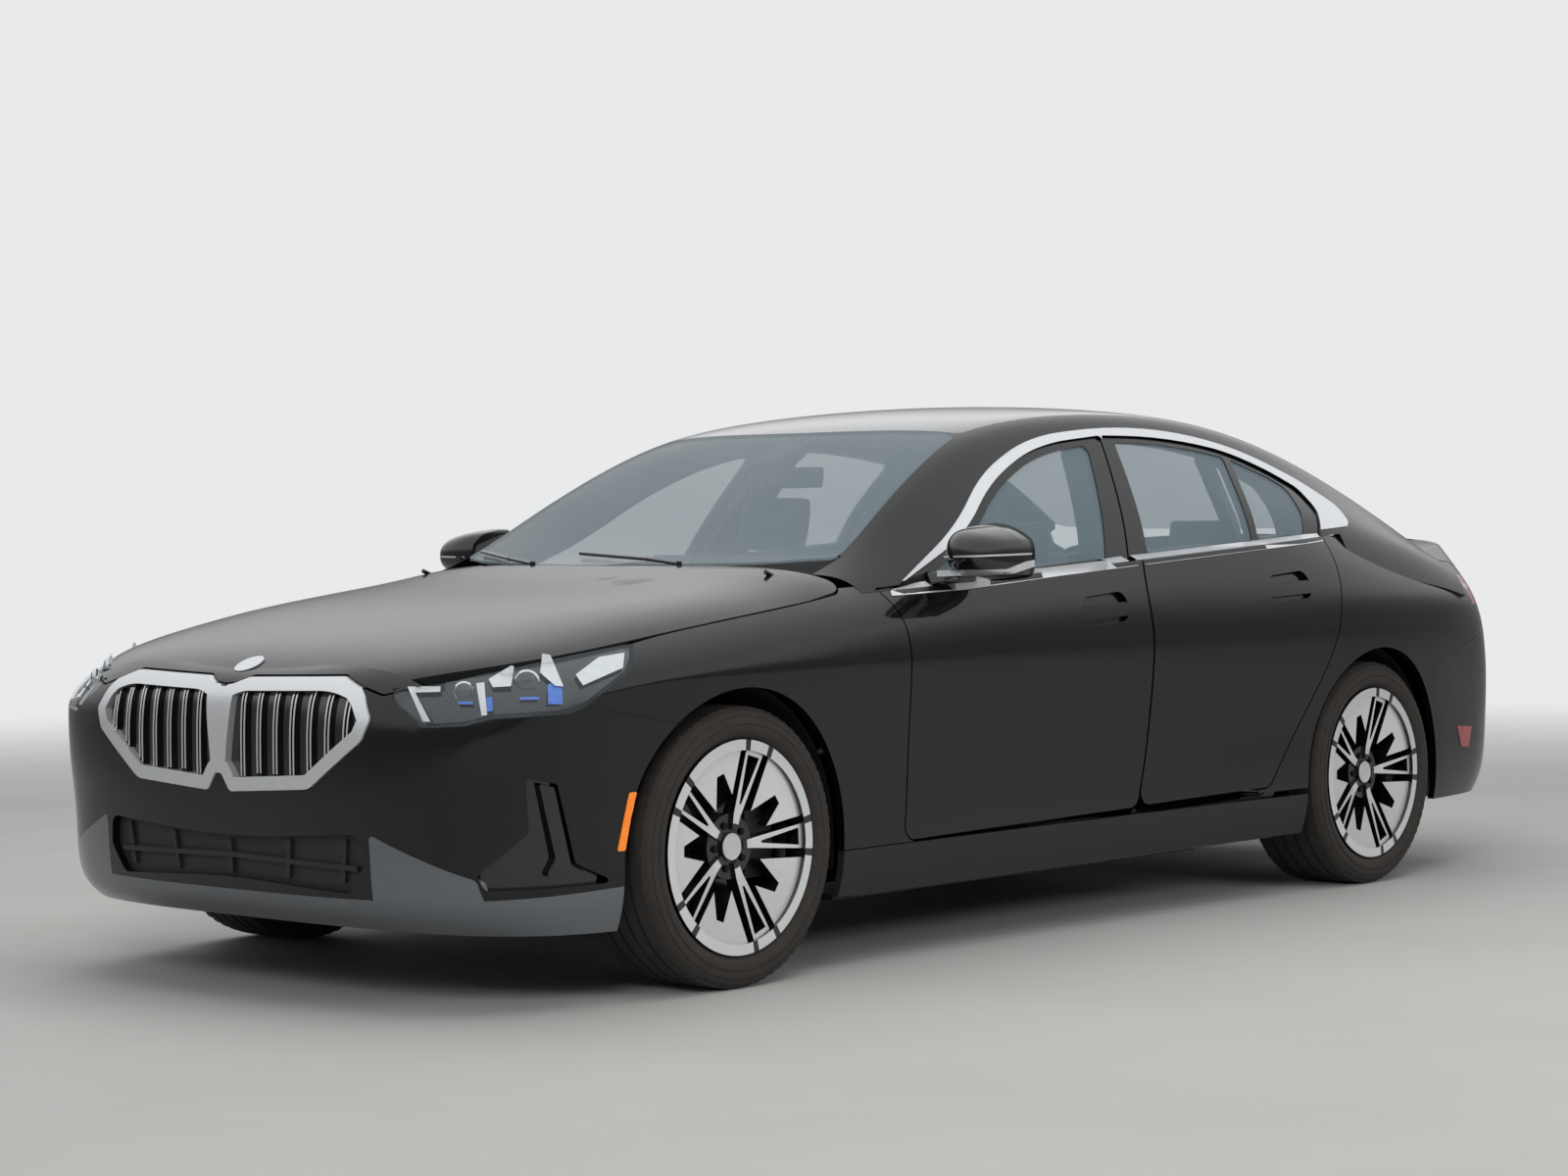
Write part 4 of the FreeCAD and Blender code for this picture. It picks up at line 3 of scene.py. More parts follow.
import logging
import math
from dataclasses import dataclass, field
from enum import Enum
from typing import Iterable, Optional, Sequence

import bmesh
import bpy
from mathutils import Matrix, Vector
from mathutils.bvhtree import BVHTree


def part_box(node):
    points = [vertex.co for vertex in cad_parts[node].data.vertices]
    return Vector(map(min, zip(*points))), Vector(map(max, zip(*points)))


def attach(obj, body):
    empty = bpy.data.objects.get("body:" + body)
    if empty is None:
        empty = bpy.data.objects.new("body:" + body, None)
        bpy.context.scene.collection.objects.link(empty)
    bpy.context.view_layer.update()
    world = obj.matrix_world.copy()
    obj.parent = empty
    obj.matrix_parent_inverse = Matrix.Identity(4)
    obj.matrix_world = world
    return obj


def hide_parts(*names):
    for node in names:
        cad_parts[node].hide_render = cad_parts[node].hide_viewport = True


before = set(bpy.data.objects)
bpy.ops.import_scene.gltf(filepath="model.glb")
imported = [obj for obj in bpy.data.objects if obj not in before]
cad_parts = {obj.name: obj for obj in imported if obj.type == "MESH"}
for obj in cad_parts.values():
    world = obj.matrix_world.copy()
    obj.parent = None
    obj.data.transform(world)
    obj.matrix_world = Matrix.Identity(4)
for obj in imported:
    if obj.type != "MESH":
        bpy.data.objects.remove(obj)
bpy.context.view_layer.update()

log = logging.getLogger("saloon")
MM = 0.001
AFT, ACROSS, UP = Vector((1, 0, 0)), Vector((0, 1, 0)), Vector((0, 0, 1))
SIDES = {"left": -1.0, "right": 1.0}

# Places of the channels on a seat, as shares of the cushion's length from its middle
SEWN_CHANNELS = (-0.22, 0.0, 0.22)

# The soft clouds of the second colour, and how far the roughness goes up and down with them
CLOUD_FORM = {"Detail": 5.0, "Roughness": 0.6}
CLOUD_EDGES = (0.35, 0.65)
ROUGHNESS_SWING = 0.15
GRAIN_DETAIL = 3.0

Triple = tuple[float, float, float]
Outline = Sequence[tuple[float, float]]


class Grain(Enum):
    """How a surface was made, which sets its fine relief."""

    PLAIN = "plain"
    ORANGE_PEEL = "orange peel"
    MOULDED = "moulded"
    CAST = "cast"
    LEATHER = "leather"
    WOVEN = "woven"


def linear(code: str, alpha: float = 1.0) -> tuple[float, float, float, float]:
    """Turns an sRGB hex colour into the linear values that shaders take.

    Args:
        code: Six hex digits after a hash sign.
        alpha: The fourth value.

    Returns:
        Linear red, green, blue and alpha.
    """
    values = []
    for start in (1, 3, 5):
        share = int(code[start:start + 2], 16) / 255
        values.append(share / 12.92 if share <= 0.04045 else ((share + 0.055) / 1.055) ** 2.4)
    return (values[0], values[1], values[2], alpha)


def add_node(tree: bpy.types.NodeTree, kind: str, links: Optional[dict] = None, **settings) -> bpy.types.Node:
    """Adds a shader node with its settings, values and links.

    Args:
        tree: The material's node tree.
        kind: Blender's name for the node type.
        links: Input name or index to a value or to another node's output.
        **settings: Attributes set on the node itself.

    Returns:
        The new node.
    """
    made = tree.nodes.new(kind)
    for name, value in settings.items():
        setattr(made, name, value)
    for key, value in (links or {}).items():
        if isinstance(value, bpy.types.NodeSocket):
            tree.links.new(value, made.inputs[key])
        else:
            made.inputs[key].default_value = value
    return made


@dataclass(frozen=True)
class Finish:
    """One surface finish: what the material is and how its surface was made."""

    name: str
    colour: str
    roughness: float
    metallic: float = 0.0
    ior: float = 1.5
    grain: Grain = Grain.PLAIN
    grain_mm: float = 1.0
    depth_mm: float = 0.0
    second_colour: Optional[str] = None
    patch_mm: float = 60.0
    patch_share: float = 0.5
    coat: float = 0.0
    coat_roughness: float = 0.03
    sheen: float = 0.0
    specular: float = 0.5
    alpha: float = 1.0
    # Strength of a painted glow in the finish's own colour, for a part that is no lit lamp
    painted_glow: float = 0.0
    edge_mm: float = 0.0

    def material(self) -> bpy.types.Material:
        """Builds the finish once.

        Returns:
            Its material, the same one each time.
        """
        ready = bpy.data.materials.get(self.name)
        if ready is not None:
            return ready
        made = bpy.data.materials.new(self.name)
        made.use_nodes = True
        tree = made.node_tree
        tree.nodes.clear()
        shader = add_node(tree, "ShaderNodeBsdfPrincipled", self.plain_values())
        place = add_node(tree, "ShaderNodeTexCoord")
        self.colour_patches(tree, shader, place)
        self.relief(tree, shader, place)
        add_node(tree, "ShaderNodeOutputMaterial", {"Surface": shader.outputs["BSDF"]})
        return made

    def plain_values(self) -> dict:
        """Gathers what is the same all over the surface.

        Returns:
            The shader's input names and their values.
        """
        values = {
            "Base Color": linear(self.colour), "Roughness": self.roughness, "Metallic": self.metallic,
            "IOR": self.ior, "Coat Weight": self.coat, "Coat Roughness": self.coat_roughness,
            "Sheen Weight": self.sheen, "Alpha": self.alpha, "Specular IOR Level": self.specular,
        }
        # The painted glow: light of the finish's own colour, given off though the part is no lamp
        if self.painted_glow > 0:
            values["Emission Color"] = linear(self.colour)
            values["Emission Strength"] = self.painted_glow
        return values

    def colour_patches(self, tree: bpy.types.NodeTree, shader: bpy.types.Node, place: bpy.types.Node) -> None:
        """Adds soft patches of the second colour, and a slight change of roughness with them.

        Args:
            tree: The material's node tree.
            shader: The surface's shader.
            place: The texture coordinate node.
        """
        if self.second_colour is None:
            return
        cloud = add_node(tree, "ShaderNodeTexNoise", {
            "Vector": place.outputs["Object"], "Scale": 1 / (self.patch_mm * MM), **CLOUD_FORM,
        })
        share = add_node(tree, "ShaderNodeMapRange", {
            "Value": cloud.outputs["Fac"], "From Min": CLOUD_EDGES[0], "From Max": CLOUD_EDGES[1],
            "To Max": self.patch_share,
        })
        self.tint(tree, shader, share.outputs["Result"], self.second_colour)
        rough = add_node(tree, "ShaderNodeMapRange", {
            "Value": cloud.outputs["Fac"], "To Min": self.roughness * (1 - ROUGHNESS_SWING),
            "To Max": min(1.0, self.roughness * (1 + ROUGHNESS_SWING)),
        })
        tree.links.new(rough.outputs["Result"], shader.inputs["Roughness"])

    def tint(self, tree: bpy.types.NodeTree, shader: bpy.types.Node, share: bpy.types.NodeSocket,
             second: str) -> None:
        """Blends the finish's own colour into a second one.

        Args:
            tree: The material's node tree.
            shader: The surface's shader.
            share: The output that says how much of the second colour shows.
            second: The second colour.
        """
        ramp = add_node(tree, "ShaderNodeValToRGB", {"Fac": share})
        ramp.color_ramp.elements[0].color = linear(self.colour)
        ramp.color_ramp.elements[1].color = linear(second)
        tree.links.new(ramp.outputs["Color"], shader.inputs["Base Color"])

    def relief(self, tree: bpy.types.NodeTree, shader: bpy.types.Node, place: bpy.types.Node) -> None:
        """Adds the fine relief of the grain, and softened edges where the finish asks for them.

        Args:
            tree: The material's node tree.
            shader: The surface's shader.
            place: The texture coordinate node.
        """
        normal = None
        if self.edge_mm > 0:
            rounded = add_node(tree, "ShaderNodeBevel", {"Radius": self.edge_mm * MM}, samples=4)
            normal = rounded.outputs["Normal"]
        if self.grain is not Grain.PLAIN and self.depth_mm > 0:
            height = self.grain_height(tree, place)
            bump = add_node(tree, "ShaderNodeBump", {"Height": height, "Distance": self.depth_mm * MM})
            if normal is not None:
                tree.links.new(normal, bump.inputs["Normal"])
            normal = bump.outputs["Normal"]
        if normal is not None:
            tree.links.new(normal, shader.inputs["Normal"])

    def grain_height(self, tree: bpy.types.NodeTree, place: bpy.types.Node) -> bpy.types.NodeSocket:
        """The height pattern of the grain, at its real size.

        Args:
            tree: The material's node tree.
            place: The texture coordinate node.

        Returns:
            The output that holds the height.
        """
        scale = 1 / (self.grain_mm * MM)
        spot = place.outputs["Object"]
        if self.grain in (Grain.LEATHER, Grain.WOVEN):
            cells = add_node(tree, "ShaderNodeTexVoronoi", {"Vector": spot, "Scale": scale},
                             feature="DISTANCE_TO_EDGE")
            return cells.outputs["Distance"]
        noise = add_node(tree, "ShaderNodeTexNoise", {"Vector": spot, "Scale": scale, "Detail": GRAIN_DETAIL})
        return noise.outputs["Fac"]


# Two-stage black lacquer: a dark base under a clear coat, so highlights are sharp and the colour is deep
BODY_LACQUER = Finish("black_body_lacquer", "#050608", 0.45, grain=Grain.ORANGE_PEEL, grain_mm=2.5,
                      depth_mm=0.004, coat=0.85, coat_roughness=0.012, specular=0.05, edge_mm=1.5)
# Gloss-moulded ABS: as dark as the paint but a touch softer in its highlights
PIANO_ABS = Finish("gloss_black_abs", "#0B0B0D", 0.12, coat=0.6, coat_roughness=0.04, edge_mm=1.0)
# Grained polypropylene: a dry grey-black moulding that takes no sharp highlight
GRAINED_PP = Finish("grained_polypropylene", "#1B1C1E", 0.62, grain=Grain.MOULDED, grain_mm=1.6, depth_mm=0.25,
                    second_colour="#26272A", patch_mm=120.0, edge_mm=1.0)
# Anodised aluminium: pale, even and silky, with wide soft highlights
SATIN_ALUMINIUM = Finish("satin_anodised_aluminium", "#DADCDF", 0.34, metallic=0.65, grain=Grain.CAST,
                         grain_mm=0.8, depth_mm=0.02, edge_mm=1.2)
# Chrome-plated ABS: mirror bright, so that the lamp's dark inside shows in it
CHROME = Finish("bright_chrome_plate", "#D8DADD", 0.08, metallic=1.0, edge_mm=0.8)
# Tinted float glass of the side windows: its pale cool grey colour is a painted veil of sky reflection, with
# clear reflections over it
SIDE_GLASS = Finish("side_glass_tint_and_painted_veil", "#7E929B", 0.02, alpha=0.36, second_colour="#6C828D", patch_mm=500.0)
# Laminated glass of the front and rear screens: its pale colour is a painted veil of sky reflection, a little
# paler and clearer than on the side windows
SCREEN_GLASS = Finish("laminated_screen_glass", "#8A9BA3", 0.02, alpha=0.34, second_colour="#758992",
                      patch_mm=500.0)
# Roof glass with a black print under it: dark like the paint, with an even sharper shine
ROOF_GLASS = Finish("dark_roof_glass", "#0C0F12", 0.03, coat=1.0, coat_roughness=0.01)
# Tyre rubber with road dust: brown-grey and matt
TYRE_RUBBER = Finish("dusty_tyre_rubber", "#2A2725", 0.86, grain=Grain.MOULDED, grain_mm=2.0, depth_mm=0.2,
                     second_colour="#3B3632", patch_mm=40.0)
# Sand-cast aluminium of links and axle carriers: a dull grey with a rough, blotched skin
CAST_GREY = Finish("cast_aluminium", "#5C5E61", 0.5, metallic=0.8, grain=Grain.CAST, grain_mm=1.5,
                   depth_mm=0.15, second_colour="#4A4B4D")
# Steel of the floor under its wax and stone-chip coat: nearly black, with a soft broken shine
COATED_STEEL = Finish("coated_structure_steel", "#141517", 0.55, grain=Grain.MOULDED, grain_mm=4.0,
                      depth_mm=0.1, second_colour="#1C1D1F")
# Needled felt of the wheel-arch liners: gives almost no light back, so the arches stay dark
FELT = Finish("needled_felt", "#111112", 0.95, grain=Grain.WOVEN, grain_mm=3.0, depth_mm=0.6,
              second_colour="#1A1A1B")
# Pigmented hide: grained and half matt, with soft clouds a shade lighter
CABIN_HIDE = Finish("black_seat_leather", "#1D1E20", 0.46, grain=Grain.LEATHER, grain_mm=2.2, depth_mm=0.10,
                    second_colour="#25262A", patch_mm=90.0, sheen=0.15)
# Slush-moulded skin on foam: the dullest black of the cabin, so that the windscreen stays clear of it
CABIN_SOFT = Finish("soft_dash_moulding", "#17181A", 0.68, grain=Grain.LEATHER, grain_mm=1.8, depth_mm=0.04,
                    second_colour="#202124")
# Hard-coated polycarbonate of the headlamps: so clear that only its highlights show
CLEAR_LENS = Finish("clear_polycarbonate", "#8D979E", 0.03, ior=1.58, alpha=0.14)
# Red acrylic over reflectors: a deep red with lighter clouds laid at random, a painted glint of the reflectors
# close behind it
RED_LENS = Finish("red_lamp_acrylic", "#8E0F16", 0.12, coat=1.0, coat_roughness=0.02, second_colour="#B52A35",
                  patch_mm=30.0)
# Amber acrylic marker: a faint painted glow stands in for the light that its retroreflector back sends back
AMBER_LENS = Finish("amber_marker_acrylic", "#FF8A12", 0.22, coat=0.8, second_colour="#F57200", patch_mm=12.0,
                    painted_glow=0.08)
# Black-passivated steel of the bolts: dark, with a metal's tight highlights
PLATED_STEEL = Finish("black_passivated_steel", "#2B2C2E", 0.38, metallic=1.0, grain=Grain.CAST, grain_mm=0.8,
                      depth_mm=0.02)
# High-gloss black moulding behind the lens: gives the lamp its depth
LAMP_BLACK = Finish("lamp_bezel_black", "#0A0B0D", 0.18, coat=0.6, second_colour="#121417", patch_mm=40.0)
# Frosted acrylic light guides: milky white, lit by the day
LIGHT_GUIDE = Finish("frosted_light_guide", "#D5DADD", 0.35, coat=0.6, second_colour="#BFC6CB", patch_mm=25.0)
# Translucent shade behind the projectors: the one clear blue on the car
BLUE_SHADE = Finish("blue_lamp_shade", "#2E6FD0", 0.25, coat=0.7, second_colour="#1D4FA8", patch_mm=15.0)
# Polished projector lens: painted dark as the shade inside the projector behind it, with lighter clouds
PROJECTOR_GLASS = Finish("projector_lens_glass", "#3A4048", 0.03, coat=1.0, coat_roughness=0.01,
                         second_colour="#5A626C", patch_mm=18.0)
# Back-silvered mirror glass: as bright and pale as what stands behind the car
MIRROR_GLASS = Finish("silvered_mirror_glass", "#B9C2C8", 0.03, metallic=1.0)
# Coated display glass: near black, with soft bluish clouds painted into its colour as its sheen
SCREEN_BLACK = Finish("display_glass", "#07090C", 0.06, coat=1.0, coat_roughness=0.02, second_colour="#0B0F15",
                      patch_mm=200.0)
# Painted front blade: dark satin silver
SATIN_LIP = Finish("satin_lip_lacquer", "#6F7378", 0.28, metallic=0.7, coat=0.4, grain=Grain.CAST, grain_mm=0.8,
                   depth_mm=0.01, edge_mm=1.0)


@dataclass(frozen=True)
class StripedLens(Finish):
    """Red acrylic with one pale band of light guide across it."""

    band_height: float = 0.930
    band_half: float = 7.5 * MM
    band_colour: str = "#F4D6D9"

    def colour_patches(self, tree: bpy.types.NodeTree, shader: bpy.types.Node, place: bpy.types.Node) -> None:
        """Colours the band pale and the rest in the lens colour.

        Args:
            tree: The material's node tree.
            shader: The surface's shader.
            place: The texture coordinate node.
        """
        parts = add_node(tree, "ShaderNodeSeparateXYZ", {"Vector": place.outputs["Object"]})
        band = add_node(tree, "ShaderNodeMath", {0: parts.outputs["Z"], 1: self.band_height, 2: self.band_half},
                        operation="COMPARE")
        self.tint(tree, shader, band.outputs[0], self.band_colour)


# The tail lamps' acrylic: lighter and pinker by day than the reflectors, with its white guide
TAIL_LENS = StripedLens("red_tail_lens", "#B3202C", 0.08, coat=1.0, coat_roughness=0.02)

NODE_FINISHES: dict[Finish, tuple[str, ...]] = {
    BODY_LACQUER: ("bonnet", "boot_lid", "front_bumper", "rear_bumper", "front_fenders", "rear_quarters",
                   "side_frames", "_door"),
    ROOF_GLASS: ("roof_panel",),
    SCREEN_GLASS: ("windscreen", "rear_window"),
    SIDE_GLASS: ("_glass",),
    SATIN_ALUMINIUM: ("grille_surround", "window_surrounds"),
    PIANO_ABS: ("grille_bars", "air_curtains", "wipers", "_mirror"),
    GRAINED_PP: ("lower_grille", "diffuser", "sill_skirts", "bay_cover", "cowl"),
    SATIN_LIP: ("front_lip",),
    CLEAR_LENS: ("headlamps",),
    TAIL_LENS: ("tail_lamps",),
    FELT: ("front_liners", "rear_liners"),
    TYRE_RUBBER: ("_tyre",),
    CABIN_HIDE: ("steering_wheel", "front_seats", "rear_bench"),
    CABIN_SOFT: ("dashboard", "parcel_shelf"),
    CAST_GREY: ("front_suspension", "rear_suspension", "left_knuckle", "right_knuckle"),
}


def finish_of(name: str) -> Finish:
    """The finish of a carried-over node, by its name or by the end of its name."""
    return next((finish for finish, names in NODE_FINISHES.items() if name.endswith(names)), COATED_STEEL)


def dress(node: str, finish: Finish) -> None:
    """Puts one finish on a carried-over node."""
    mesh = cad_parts[node].data
    mesh.materials.clear()
    mesh.materials.append(finish.material())


@dataclass(frozen=True)
class PlateForm:
    """How a plate lies on the solids behind it, in metres.

    Attributes:
        thickness: How far it stands out.
        sink: How deep its back lies below the surface.
        step: Its largest facet.
        rounding: The radius of its outline's corners.
    """

    thickness: float
    sink: float = 1.0 * MM
    step: float = 20.0 * MM
    rounding: float = 0.0


@dataclass
class Craft:
    """The modelling tools that the sub-assemblies share."""

    sharp_deg: float = 32.0
    rim_deg: float = 60.0
    weld: float = 0.001 * MM
    view_distance: float = 3.0
    corner_segments: int = 4
    rim_segments: int = 2
    pillow_cuts: int = 15
    channel_depth: float = 6.0 * MM
    channel_half_share: float = 0.1

    def piece(self, name: str, shape: bmesh.types.BMesh, finish: Finish, body: str,
              replaced: Sequence[str] = ()) -> bpy.types.Object:
        """Turns a finished bmesh into a piece that rides on a body.

        Args:
            name: The piece's name.
            shape: The mesh, which is freed here.
            finish: Its finish.
            body: The body that it moves with.
            replaced: The solids that it stands for.

        Returns:
            The new object.
        """
        bmesh.ops.remove_doubles(shape, verts=shape.verts, dist=self.weld)
        bmesh.ops.recalc_face_normals(shape, faces=shape.faces)
        limit = math.radians(self.sharp_deg)
        for face in shape.faces:
            face.smooth = True
        for edge in shape.edges:
            edge.smooth = len(edge.link_faces) == 2 and edge.calc_face_angle(0.0) < limit
        mesh = bpy.data.meshes.new(name)
        shape.to_mesh(mesh)
        shape.free()
        mesh.materials.append(finish.material())
        made = bpy.data.objects.new(name, mesh)
        bpy.context.scene.collection.objects.link(made)
        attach(made, body)
        if replaced:
            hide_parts(*replaced)
        log.info("%s: %d faces", name, len(mesh.polygons))
        return made

    def smoothed(self, made: bpy.types.Object) -> bpy.types.Object:
        """Rounds a piece with one level of subdivision, and hands it back."""
        smooth = made.modifiers.new("smooth", "SUBSURF")
        smooth.levels = smooth.render_levels = 1
        return made

    def outline_face(self, shape: bmesh.types.BMesh, points: Iterable[Vector],
                     rounding: float = 0.0) -> bmesh.types.BMFace:
        """Fills an outline with one face and rounds its corners.

        Args:
            shape: The mesh to add to.
            points: The corners in order.
            rounding: The corner radius in metres, or zero.

        Returns:
            The new face.
        """
        corners = [shape.verts.new(point) for point in points]
        made = shape.faces.new(corners)
        if rounding > 0:
            bmesh.ops.bevel(shape, geom=corners, offset=rounding, segments=self.corner_segments, profile=0.5,
                            affect="VERTICES", material=-1)
            made = max(shape.faces, key=lambda face: len(face.verts))
        return made

    def pushed_out(self, shape: bmesh.types.BMesh, faces: Sequence[bmesh.types.BMFace], way: Vector) -> None:
        """Extrudes faces along a vector."""
        extruded = bmesh.ops.extrude_face_region(shape, geom=faces)
        moved = [g for g in extruded["geom"] if isinstance(g, bmesh.types.BMVert)]
        bmesh.ops.translate(shape, verts=moved, vec=way)

    def sliced(self, shape: bmesh.types.BMesh, direction: Vector, step: float) -> None:
        """Cuts the whole mesh across a direction at even steps, so that it can bend.

        Args:
            shape: The mesh to cut.
            direction: The way that the cuts follow each other.
            step: The distance between two cuts.
        """
        reach = [v.co.dot(direction) for v in shape.verts]
        low, high = min(reach), max(reach)
        for k in range(1, int((high - low) / step) + 1):
            everything = shape.verts[:] + shape.edges[:] + shape.faces[:]
            place = direction * (low + k * step)
            bmesh.ops.bisect_plane(shape, geom=everything, plane_co=place, plane_no=direction)

    def skin_patch(self, outline: Outline, base: Vector, along: Vector, inward: Vector, nodes: Sequence[str],
                   form: PlateForm) -> bmesh.types.BMesh:
        """A plate whose outline is seen along a direction and whose face follows the solids behind it.

        Args:
            outline: Corners as metres along and up from the base.
            base: The outline's zero point.
            along: The direction of the first number; up is the second.
            inward: The direction in which the outline is pressed on the solids.
            nodes: The solids that it lies on.
            form: How it lies on them.

        Returns:
            The closed plate.
        """
        shape = bmesh.new()
        self.outline_face(shape, [base + along * a + UP * b for a, b in outline], form.rounding)
        self.sliced(shape, along.normalized(), form.step)
        self.sliced(shape, UP, form.step)
        trees = [solid_tree(name) for name in nodes]
        depths, missed = {}, []
        for vert in shape.verts:
            hits = [tree.ray_cast(vert.co - inward * self.view_distance, inward)[3] for tree in trees]
            found = [hit - self.view_distance for hit in hits if hit is not None]
            if found:
                depths[vert] = min(found)
            else:
                missed.append(vert)
        for vert in missed:
            beside = min(depths, key=lambda other: (other.co - vert.co).length)
            depths[vert] = depths[beside]
        for vert, depth in depths.items():
            vert.co += inward * (depth + form.sink)
        bmesh.ops.remove_doubles(shape, verts=shape.verts, dist=self.weld)
        self.pushed_out(shape, shape.faces[:], -inward * form.thickness)
        return shape

    def prism(self, outline: Sequence[Vector], depth: Vector, rounding: float,
              edge: float) -> bmesh.types.BMesh:
        """A block from a flat outline, with rounded corners and softened rims.

        Args:
            outline: The corners in order.
            depth: The way the outline is extruded.
            rounding: The radius of the outline's corners.
            edge: The width of the bevel on the rims.

        Returns:
            The closed block.
        """
        shape = bmesh.new()
        self.pushed_out(shape, [self.outline_face(shape, outline, rounding)], depth)
        rims = [e for e in shape.edges if e.calc_face_angle(0.0) > math.radians(self.rim_deg)]
        bmesh.ops.bevel(shape, geom=rims, offset=edge, segments=self.rim_segments, profile=0.5, affect="EDGES",
                        material=-1)
        return shape

    def stepped_disc(self, radius: float, taper_share: float, height: float, segments: int,
                     steps: Sequence[tuple[float, float]]) -> bmesh.types.BMesh:
        """A round disc whose top goes up and down in rings.

        Args:
            radius: Its radius at the foot.
            taper_share: The radius at its top, as a share of that.
            height: How thick it is.
            segments: Its facets round the rim.
            steps: Each ring's width and rise, from the rim inwards.

        Returns:
            The closed disc about the origin, its top towards +Z.
        """
        shape = bmesh.new()
        bmesh.ops.create_cone(shape, cap_ends=True, segments=segments, radius1=radius,
                              radius2=radius * taper_share, depth=height)
        top = max(shape.faces, key=lambda face: face.calc_center_median().z)
        for width, rise in steps:
            bmesh.ops.inset_region(shape, faces=[top], thickness=width, depth=rise)
        return shape

    def pillow(self, size: Triple, crown: float,
               channels: Sequence[float] = ()) -> bmesh.types.BMesh:
        """A crowned closed cushion, fullest in the middle, with sewn channels across its face.

        Args:
            size: Width, length and thickness in metres.
            crown: How much of the thickness is lost at the rims, as a share.
            channels: Places of the channels, as shares of the length from its middle.

        Returns:
            The cushion about the origin, its face towards +Z.
        """
        shape = bmesh.new()
        bmesh.ops.create_cube(shape, size=1.0)
        bmesh.ops.subdivide_edges(shape, edges=shape.edges[:], cuts=self.pillow_cuts, use_grid_fill=True)
        width, length, thickness = size
        for vert in shape.verts:
            a, b, c = vert.co * 2
            rim = (1 - crown * abs(a) ** 3.5) * (1 - crown * abs(b) ** 3.5)
            waist = 1 - 0.07 * (1 - a * a) * (1 - abs(c))
            side = 1 - 0.10 * abs(c) ** 4
            vert.co.x = a * width / 2 * side * (1 - 0.03 * b * b)
            vert.co.y = b * length / 2 * side * (1 - 0.03 * a * a) * waist
            vert.co.z = c * thickness / 2 * rim
            if c > 0.5:
                near = min((abs(b - 2 * share) for share in channels), default=1.0)
                vert.co.z -= self.channel_depth * max(0.0, 1 - near / self.channel_half_share)
        return shape

    def turn_to(self, shape: bmesh.types.BMesh, place: Vector, across: Vector, along: Vector) -> None:
        """Moves a mesh from the origin to its place, with its X and Y axes on two directions.

        Args:
            shape: The mesh to move.
            place: Where its origin comes to lie.
            across: The new direction of its X axis.
            along: The new direction of its Y axis.
        """
        across, along = across.normalized(), along.normalized()
        matrix = Matrix((across, along, across.cross(along))).transposed().to_4x4()
        matrix.translation = place
        bmesh.ops.transform(shape, matrix=matrix, verts=shape.verts)


TREES: dict[str, BVHTree] = {}
CRAFT = Craft()


def solid_tree(node: str) -> BVHTree:
    """The search tree of one carried-over solid, made once."""
    if node not in TREES:
        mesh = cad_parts[node].data
        faces = [tuple(face.vertices) for face in mesh.polygons]
        TREES[node] = BVHTree.FromPolygons([vert.co for vert in mesh.vertices], faces)
    return TREES[node]


def slanting_view(sign: float) -> tuple[Vector, Vector]:
    """The directions along and into a front corner of the car, on the side that the sign gives."""
    return Vector((1, sign, 0)).normalized(), Vector((1, -sign, 0)).normalized()


